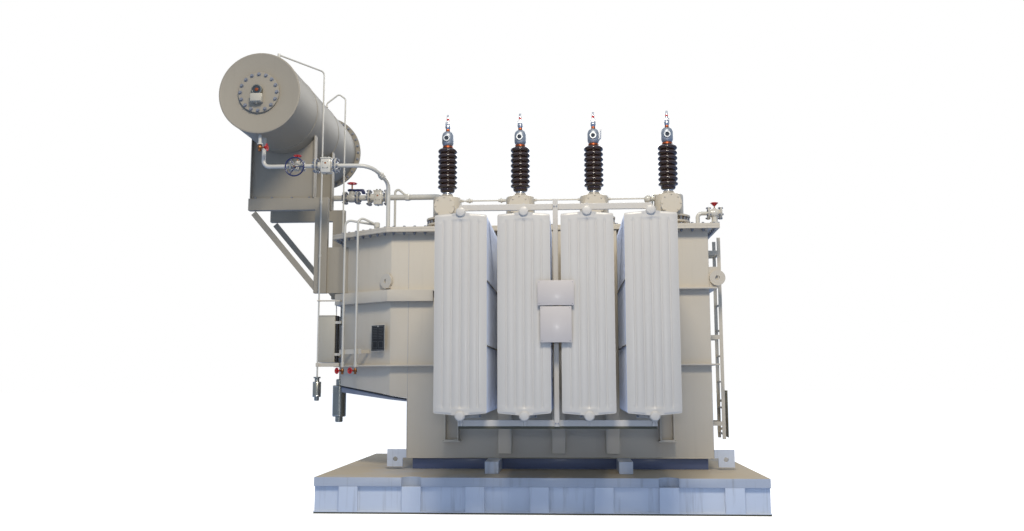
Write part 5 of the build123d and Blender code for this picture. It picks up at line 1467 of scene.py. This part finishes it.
class TRANSFORMER_OT_handwheels(bpy.types.Operator):
    """Build every handwheel on the stem that it turns with"""

    bl_idname = "transformer.handwheels"
    bl_label = "Handwheels"

    WHEELS = [
        ("main_valve_wheel", at(*MAIN_VALVE) @ at(0, 0, 0.025), 0.068, 0.0075, 0.01, 0.177),
        ("tap_valve_wheel", at(*TAP_VALVE) @ at(0, 0, 0.025), 0.05, 0.0055, 0.007, 0.097),
        ("conservator_drain_wheel", at(*DRAIN_VALVE) @ at(0.005, 0, 0) @ TO_RIGHT, 0.046, 0.005, 0.006, 0.08),
        ("drain_wheel_1", on_bevel(0.224, 0.175, 1.5) @ TO_FRONT, 0.038, 0.006, 0.006, 0.08),
        ("drain_wheel_2", on_bevel(0.452, 0.175, 1.5) @ TO_FRONT, 0.038, 0.006, 0.006, 0.08),
        ("vent_valve_wheel", at(*VENT_VALVE) @ at(0, 0, 0.025), 0.046, 0.0055, 0.007, 0.097),
    ]

    def execute(self, context):
        for node, foot, radius, rim, stem_radius, stem in self.WHEELS:
            self.wheel(node, foot, radius, rim, stem_radius, stem, "red", "red_wheel")
        ring = at(*TAP_VALVE) @ at(0, -0.035, -0.03) @ TO_FRONT
        self.wheel("tap_ring_wheel", ring, 0.117, 0.009, 0.007, 0.075, "navy", "navy_ring")
        self.lever(at(*MAIN_VALVE))
        return {"FINISHED"}

    def lever(self, place):
        """The main valve's lever: a hub round the bonnet and a grip that droops past the flange."""
        lever = Piece("main_valve_lever_arm", "navy", "navy_ring", "main_valve_lever")
        rows = [
            (0.0265, 0.095), (0.056, 0.095), (0.06, 0.099), (0.06, 0.112), (0.056, 0.117), (0.0265, 0.117),
            (0.0265, 0.095),
        ]
        lever.lathe(rows, place, 40)
        side = [(0.04, 0.122), (0.03, 0.096), (0.12, 0.096), (0.134, 0.086), (0.137, 0.06), (0.148, 0.053)]
        side += [(0.17, 0.053), (0.182, 0.064), (0.182, 0.098), (0.17, 0.114), (0.15, 0.122)]
        lever.prism(side, 0.036, place @ at(0, 0.018, 0) @ TO_FRONT, 0.004)
        lever.done("main_valve_lever")

    def wheel(self, node, foot, radius, rim, stem_radius, stem, coat, slot):
        """A handwheel on its stem: dished when small, or else with three or five spokes."""
        wheel = Piece(node + "_rim", coat, slot, node)
        top = foot @ at(0, 0, stem)
        wheel.hoop(radius - rim, rim, top, 48, 10)
        hub = stem_radius * 1.9
        wheel.turned([(hub, -rim * 1.3), (hub, rim * 0.9), (hub * 0.8, rim * 1.2)], top, 20)
        if radius < 0.047:
            cone = [(0.013, -0.034), (radius - rim, -0.003), (radius - rim, 0.003), (0.013, -0.012)]
            wheel.turned(cone, top, 28)
            count = 0
        else:
            count = 3 if radius > 0.1 else 5
        for k in range(count):
            turn = top @ spun(360 * k / count)
            spoke = [(hub * 0.7, 0, -rim * 0.5), (radius * 0.5, 0, -rim * 0.5), (radius - rim, 0, 0)]
            wheel.tube(spoke, rim * 0.62, 0.01, 8, turn)
        wheel.done(node)
        spindle = Piece(node + "_stem", "brass", "cap_aluminium", node)
        spindle.rod(stem_radius, 0, stem - rim, foot, 20)
        spindle.rod(stem_radius * 1.15, 0, rim, top @ at(0, 0, rim * 1.1), 6)
        spindle.done()


class TRANSFORMER_OT_end_fittings(bpy.types.Operator):
    """Build what hangs on the tank's ends and stands on its cover"""

    bl_idname = "transformer.end_fittings"
    bl_label = "End fittings"

    def execute(self, context):
        self.breathers()
        self.cabinet()
        self.plates()
        self.tap_changer()
        self.guard()
        return {"FINISHED"}

    def breathers(self):
        """The small and the large breather under their pipes."""
        steel = Piece("breather_bodies", "dark steel", "breather_steel")
        rings = Piece("breather_rings", "bright", "breather_steel")
        small = at(*SMALL_BREATHER, 1.43)
        neck = [(0, 0), (0.042, 0), (0.042, -0.016), (0.028, -0.018), (0.028, -0.056), (0.046, -0.06)]
        steel.lathe(neck, small, 40)
        steel.turned([(0.046, -0.058), (0.049, -0.062), (0.049, -0.236), (0.045, -0.24)], small, 40)
        steel.turned([(0.029, -0.238), (0.029, -0.27), (0.024, -0.285)], small, 40)
        large = at(*LARGE_BREATHER, 1.405)
        steel.turned([(0.03, 0), (0.045, -0.008), (0.045, -0.08)], large, 48)
        drum = [(0, -0.078), (0.076, -0.08), (0.084, -0.088), (0.084, -0.464), (0.076, -0.472), (0, -0.472)]
        steel.lathe(drum, large, 48)
        steel.turned([(0.047, -0.47), (0.047, -0.53), (0.038, -0.54)], large, 48)
        for place, radius, heights in ((small, 0.0475, (-0.07, -0.228)), (large, 0.0825, (-0.098, -0.454))):
            for z in heights:
                rings.hoop(radius, 0.0035, place @ at(0, 0, z), 48, 8)
        steel.done("breathers")
        rings.done()

    def cabinet(self):
        box = Piece("cabinet_case", "cabinet", "cabinet_paint")
        box.slab((-2.722, -0.248, 1.602), (-2.527, 0.208, 2.166), 0.006)
        box.slab((-2.738, -0.24, 1.61), (-2.724, 0.2, 2.158), 0.004)
        box.slab((-2.74, -0.25, 2.164), (-2.525, 0.21, 2.18), 0.004)
        box.slab((-2.722, -0.2495, 1.63), (-2.54, -0.2475, 2.14), 0.0005)
        for y in (-0.15, 0.12):
            for z in (1.68, 2.1):
                box.slab((-2.53, y - 0.015, z - 0.015), (-2.458, y + 0.015, z + 0.015), 0.002)
        box.done("control_cabinet")
        trim = Piece("cabinet_hinges", "zinc", "cap_aluminium")
        for z in (1.72, 2.05):
            trim.rod(0.0055, -0.035, 0.035, at(-2.7335, 0.2035, z), 14)
        trim.rod(0.011, 0, 0.0012, at(-2.738, -0.2, 1.88) @ TO_LEFT, 20)
        trim.done()
        hoses = Piece("conduit_runs", "rubber", "conduit_rubber")
        ribs = [(0.0135 if k % 2 else 0.0168, 1.612 + k * (0.561 / 60)) for k in range(61)]
        for y in (-0.222, -0.182):
            hoses.lathe([(0, 1.61), *ribs, (0, 2.175)], at(-2.508, y, 0), 16)
        hoses.done("conduits")
        clips = Piece("conduit_clips", "casting", "cap_aluminium")
        for z in (1.7, 2.09):
            clips.slab((-2.53, -0.243, z - 0.016), (-2.489, -0.24, z + 0.016), 0.0008)
            clips.slab((-2.492, -0.243, z - 0.016), (-2.458, -0.2, z + 0.016), 0.0008)
        clips.tube([(-2.522, -0.2, 2.17), (-2.526, -0.2, 2.3)], 0.006, 0, 10)
        clips.done()

    def plates(self):
        """The bare nameplate and the two bare boards."""
        place = on_bevel(0.704, 0.0515, 1.88) @ TO_FRONT
        plate = Piece("nameplate_sheet", "black", "nameplate")
        plate.slab((-0.109, -0.149, 0.0015), (0.109, 0.149, 0.003), 0.0004, place)
        back = Piece("nameplate_bracket", "tank")
        for x in (-0.085, -0.02):
            back.slab((x - 0.008, -0.02, -0.083), (x + 0.008, 0.02, 0.001), 0.001, place)
        back.done()
        plate.done("nameplate")
        edge = Piece("nameplate_edge", "casting", "nameplate")
        edge.slab((-0.115, -0.155, 0), (0.115, 0.155, 0.002), 0.0004, place)
        edge.rod(0.009, 0.003, 0.004, place @ at(0, 0.136, 0), 16)
        edge.done()
        lines = Piece("nameplate_fields", "ivory", "nameplate")

        def field(left, right, low, high):
            lines.slab((left, low, 0.0028), (right, high, 0.0034), 0, place)

        for x in (-0.0965, 0.0965):
            field(x - 0.002, x + 0.002, -0.136, 0.136)
        for y in (-0.1365, 0.1365):
            field(-0.0985, 0.0985, y - 0.002, y + 0.002)
        for k, y in enumerate(row_of(0.055, 0.019, 7)):
            field(-0.084, -0.01, y - 0.0012, y + 0.0012)
            field(0.01, 0.064 if k % 3 == 1 else 0.084, y - 0.0012, y + 0.0012)
        for x in (-0.048, 0.048):
            for y in (-0.04, -0.115):
                field(x - 0.036, x + 0.036, y - 0.0012, y + 0.0012)
            for side in (x - 0.036, x + 0.036):
                field(side - 0.0012, side + 0.0012, -0.115, -0.04)
        lines.done()
        boards = Piece("board_sheets", "board", "sign_board")
        screws = Piece("board_screws", "zinc", "cap_aluminium")
        head = [(0, 0), (0.0042, 0), (0.0032, 0.0018), (0, 0.0024)]
        for half, low, high in ((0.178, 2.106, 2.35), (0.152, 1.746, 2.096)):
            boards.slab((0.2 - half, BOARD_FACE, low), (0.2 + half, BOARD_FACE + 0.004, high), 0.0015)
            for z in (low + 0.05, high - 0.05):
                boards.slab((0.185, -2.411, z - 0.012), (0.215, -2.243, z + 0.012), 0.001)
            for x in (0.2 - half + 0.016, 0.2 + half - 0.016):
                for z in (low + 0.016, high - 0.016):
                    screws.lathe(head, at(x, BOARD_FACE + 0.0002, z) @ TO_FRONT, 14)
        boards.done("sign_boards")
        screws.done()

    def tap_changer(self):
        axis = at(TANK_LEFT - 0.42, TANK_MIDDLE.y, COVER_TOP)
        head = Piece("tap_changer_lid", "cover")
        head.disc(0.33, 0, 0.025, axis, 0.003, 72)
        dome = [(0, 0.02), (0.215, 0.02), (0.215, 0.06), (0.26, 0.062), (0.26, 0.092), (0.24, 0.098)]
        head.lathe([*dome, (0.12, 0.118), (0, 0.12)], axis, 72)
        head.done("tap_changer_head")
        bolts = Piece("tap_changer_bolts", "zinc", "cap_aluminium")
        bolt_ring(bolts, axis @ at(0, 0, 0.025), 0.3, 24, 0.022)
        bolt_ring(bolts, axis @ at(0, 0, 0.094), 0.242, 20, 0.02)
        bolts.done()

    def guard(self):
        guard = Piece("ladder_guard_plate", "guard", "guard_dark", "ladder_guard")
        guard.copy("ladder_guard", 0.0008)
        guard.done("ladder_guard")


class TRANSFORMER_OT_fasteners(bpy.types.Operator):
    """Set the bolts of the cover, the housings and the frames"""

    bl_idname = "transformer.fasteners"
    bl_label = "Fasteners"

    def execute(self, context):
        settings = context.scene.transformer_fasteners
        cover = Piece("cover_bolts", "zinc", "cap_aluminium")
        out = 0.062
        middle = TANK_MIDDLE.y
        half = END_HALF + out * 0.7
        plan = [
            (TANK_RIGHT + out, TANK_FRONT - out),
            (END_BEND - out * 0.3, TANK_FRONT - out),
            (END_LEFT - out, middle - half),
            (END_LEFT - out, middle + half),
            (END_BEND - out * 0.3, 2 * middle - TANK_FRONT + out),
            (TANK_RIGHT + out, 2 * middle - TANK_FRONT + out),
        ]
        bolt_loop(
            cover, plan, at(0, 0, COVER_TOP), settings.cover_pitch, settings.across, COVER_TOP - RIM_LOW
        )
        cover.done()
        housings = Piece("housing_bolts", "zinc", "cap_aluminium")
        for x in HV_ROW:
            for k in range(24):
                stud = at(x, BUSHING_Y, 0) @ spun(15 * k) @ at(0.236, 0, 0)
                housings.rod(0.013, 3.292, 3.345, stud, 8)
        housings.done()
        covers = Piece("housing_cover_bolts", "tank", "cap_aluminium")
        for x in HV_ROW:
            bolt_ring(covers, at(x, BUSHING_Y - 0.298, HOUSING_AXIS) @ TO_FRONT, 0.11, 8, 0.015, 0.048)
        covers.done()
        self.frame_bolts()
        return {"FINISHED"}

    def frame_bolts(self):
        """The bolts of the radiators' flanges, the tie bars and the saddles."""
        frames = Piece("frame_bolts", "zinc", "cap_aluminium")
        for side in SIDES:
            for x in BANK_ROW:
                for z in HEADER_HEIGHTS:
                    for u in (-0.058, 0.058):
                        for v in (-0.058, 0.058):
                            frames.rod(0.011, -0.012, 0, side @ at(x + u, -0.942, z + v) @ TO_BACK, 6)
            for z in (0.9655, 3.1165):
                for x in (0.188, 0.212):
                    frames.rod(0.008, 0, 0.007, side @ at(x, -2.245, z) @ TO_FRONT, 6)
        for x in (-3.56, -3.35, -3.1, -2.88):
            for y in (-0.24, 0.62):
                for off in (-0.032, 0.032):
                    frames.rod(0.014, 0, 0.012, at(x, y + off, 3.643), 6)
        frames.done()


class TRANSFORMER_OT_stage(bpy.types.Operator):
    """Set the floor, the lights and the camera"""

    bl_idname = "transformer.stage"
    bl_label = "Stage"

    def execute(self, context):
        settings = context.scene.transformer_stage
        self.floor()
        self.sky(context.scene, settings)
        self.lamp("overhead", (0.5, -7.7, 8.7), (0.2, 0, 2.1), (3.0, 1.8), settings.key, (1.0, 0.92, 0.78))
        self.lamp(
            "by_camera", (0.31, -11.25, 1.95), (0.1, 0, 1.9), (0.5, 0.4), settings.front, (0.98, 0.99, 1.0)
        )
        self.lamp("rear", (1.5, 9.5, 8.5), (0, 0, 1.9), (7.5, 4.5), settings.key * 0.6, (1.0, 0.98, 0.95))
        self.camera(context.scene)
        return {"FINISHED"}

    def floor(self):
        mesh = bpy.data.meshes.new("studio_floor")
        corners = [(x, y, -0.001) for x, y in ((-90, -90), (90, -90), (90, 90), (-90, 90))]
        mesh.from_pydata(corners, [], [(0, 1, 2, 3)])
        material = bpy.data.materials.new("studio_floor")
        graph = emptied(material)
        matt = graph.add("ShaderNodeBsdfDiffuse", {}, (0.86, 0.86, 0.86, 1))
        bounce = graph.add("ShaderNodeBsdfDiffuse", {}, (0.46, 0.56, 0.76, 1))
        glow = graph.add("ShaderNodeEmission", {}, (1.0, 0.95, 0.85, 1), 0.74)
        path = graph.add("ShaderNodeLightPath")
        seen = (path.out("Is Camera Ray") + path.out("Is Transmission Ray")).held()
        bright = graph.add("ShaderNodeAddShader", {}, glow, matt)
        graph.add("ShaderNodeOutputMaterial", {}, graph.add("ShaderNodeMixShader", {}, seen, bounce, bright))
        mesh.materials.append(material)
        floor = bpy.data.objects.new("studio_floor", mesh)
        bpy.context.scene.collection.objects.link(floor)

    def sky(self, scene, settings):
        world = bpy.data.worlds.new("studio")
        graph = emptied(world)
        path = graph.add("ShaderNodeLightPath")
        seen = (
            path.out("Is Camera Ray") + path.out("Is Glossy Ray") * 0.2 + path.out("Is Transmission Ray")
        ).held()
        fill = graph.add("ShaderNodeBackground", {}, (0.56, 0.72, 1.0, 1), settings.fill)
        white = graph.add("ShaderNodeBackground", {}, (1, 1, 1, 1), 1.0)
        graph.add("ShaderNodeOutputWorld", {}, graph.add("ShaderNodeMixShader", {}, seen, fill, white))
        scene.world = world

    def lamp(self, name, place, target, size, power, colour):
        light = bpy.data.lights.new(name, "AREA")
        light.shape = "RECTANGLE"
        light.size, light.size_y = size
        light.energy = power
        light.color = colour
        lamp = bpy.data.objects.new(name, light)
        lamp.location = place
        lamp.rotation_euler = (Vector(target) - Vector(place)).to_track_quat("-Z", "Y").to_euler()
        bpy.context.scene.collection.objects.link(lamp)

    def camera(self, scene):
        """The photo's own view."""
        yaw, pitch, roll = 0.0603, 0.1248, -0.0024
        ahead = Vector((-math.sin(yaw), math.cos(yaw), 0))
        right = Vector((math.cos(yaw), math.sin(yaw), 0))
        forward = ahead * math.cos(pitch) + Vector((0, 0, 1)) * math.sin(pitch)
        upward = Vector((0, 0, 1)) * math.cos(pitch) - ahead * math.sin(pitch)
        right, upward = (
            right * math.cos(roll) + upward * math.sin(roll),
            upward * math.cos(roll) - right * math.sin(roll),
        )
        lens = bpy.data.cameras.new("studio_camera")
        lens.sensor_width = 36
        lens.lens = 915 / 1024 * 36
        lens.clip_end = 300
        camera = bpy.data.objects.new("studio_camera", lens)
        turn = Matrix((right, upward, -forward)).transposed().to_4x4()
        camera.matrix_world = at(0.3106, -11.2907, 1.3833) @ turn
        scene.collection.objects.link(camera)
        scene.camera = camera
        scene.view_settings.view_transform = "Standard"


GROUPS = [
    (PaintSettings, "transformer_paint"),
    (RadiatorSettings, "transformer_radiators"),
    (BushingSettings, "transformer_bushings"),
    (FastenerSettings, "transformer_fasteners"),
    (StageSettings, "transformer_stage"),
]

STEPS = [
    TRANSFORMER_OT_paintwork,
    TRANSFORMER_OT_steelwork,
    TRANSFORMER_OT_radiators,
    TRANSFORMER_OT_bushings,
    TRANSFORMER_OT_conservator,
    TRANSFORMER_OT_pipework,
    TRANSFORMER_OT_handwheels,
    TRANSFORMER_OT_end_fittings,
    TRANSFORMER_OT_fasteners,
    TRANSFORMER_OT_stage,
]


class TRANSFORMER_PT_panel(bpy.types.Panel):
    """Lists the steps that build the transformer"""

    bl_idname = "TRANSFORMER_PT_panel"
    bl_label = "Power transformer"
    bl_space_type = "VIEW_3D"
    bl_region_type = "UI"
    bl_category = "Transformer"

    def draw(self, context):
        for step in STEPS:
            self.layout.operator(step.bl_idname)
        for kind, name in GROUPS:
            box = self.layout.box()
            for key in kind.__annotations__:
                box.prop(getattr(context.scene, name), key)


def register():
    for kind, name in GROUPS:
        bpy.utils.register_class(kind)
        setattr(bpy.types.Scene, name, bpy.props.PointerProperty(type=kind))
    for kind in (*STEPS, TRANSFORMER_PT_panel):
        bpy.utils.register_class(kind)


def unregister():
    for kind in (TRANSFORMER_PT_panel, *STEPS[::-1]):
        bpy.utils.unregister_class(kind)
    for kind, name in GROUPS[::-1]:
        delattr(bpy.types.Scene, name)
        bpy.utils.unregister_class(kind)


def main():
    register()
    for step in STEPS:
        area, name = step.bl_idname.split(".")
        getattr(getattr(bpy.ops, area), name)()


if __name__ == "__main__":
    main()
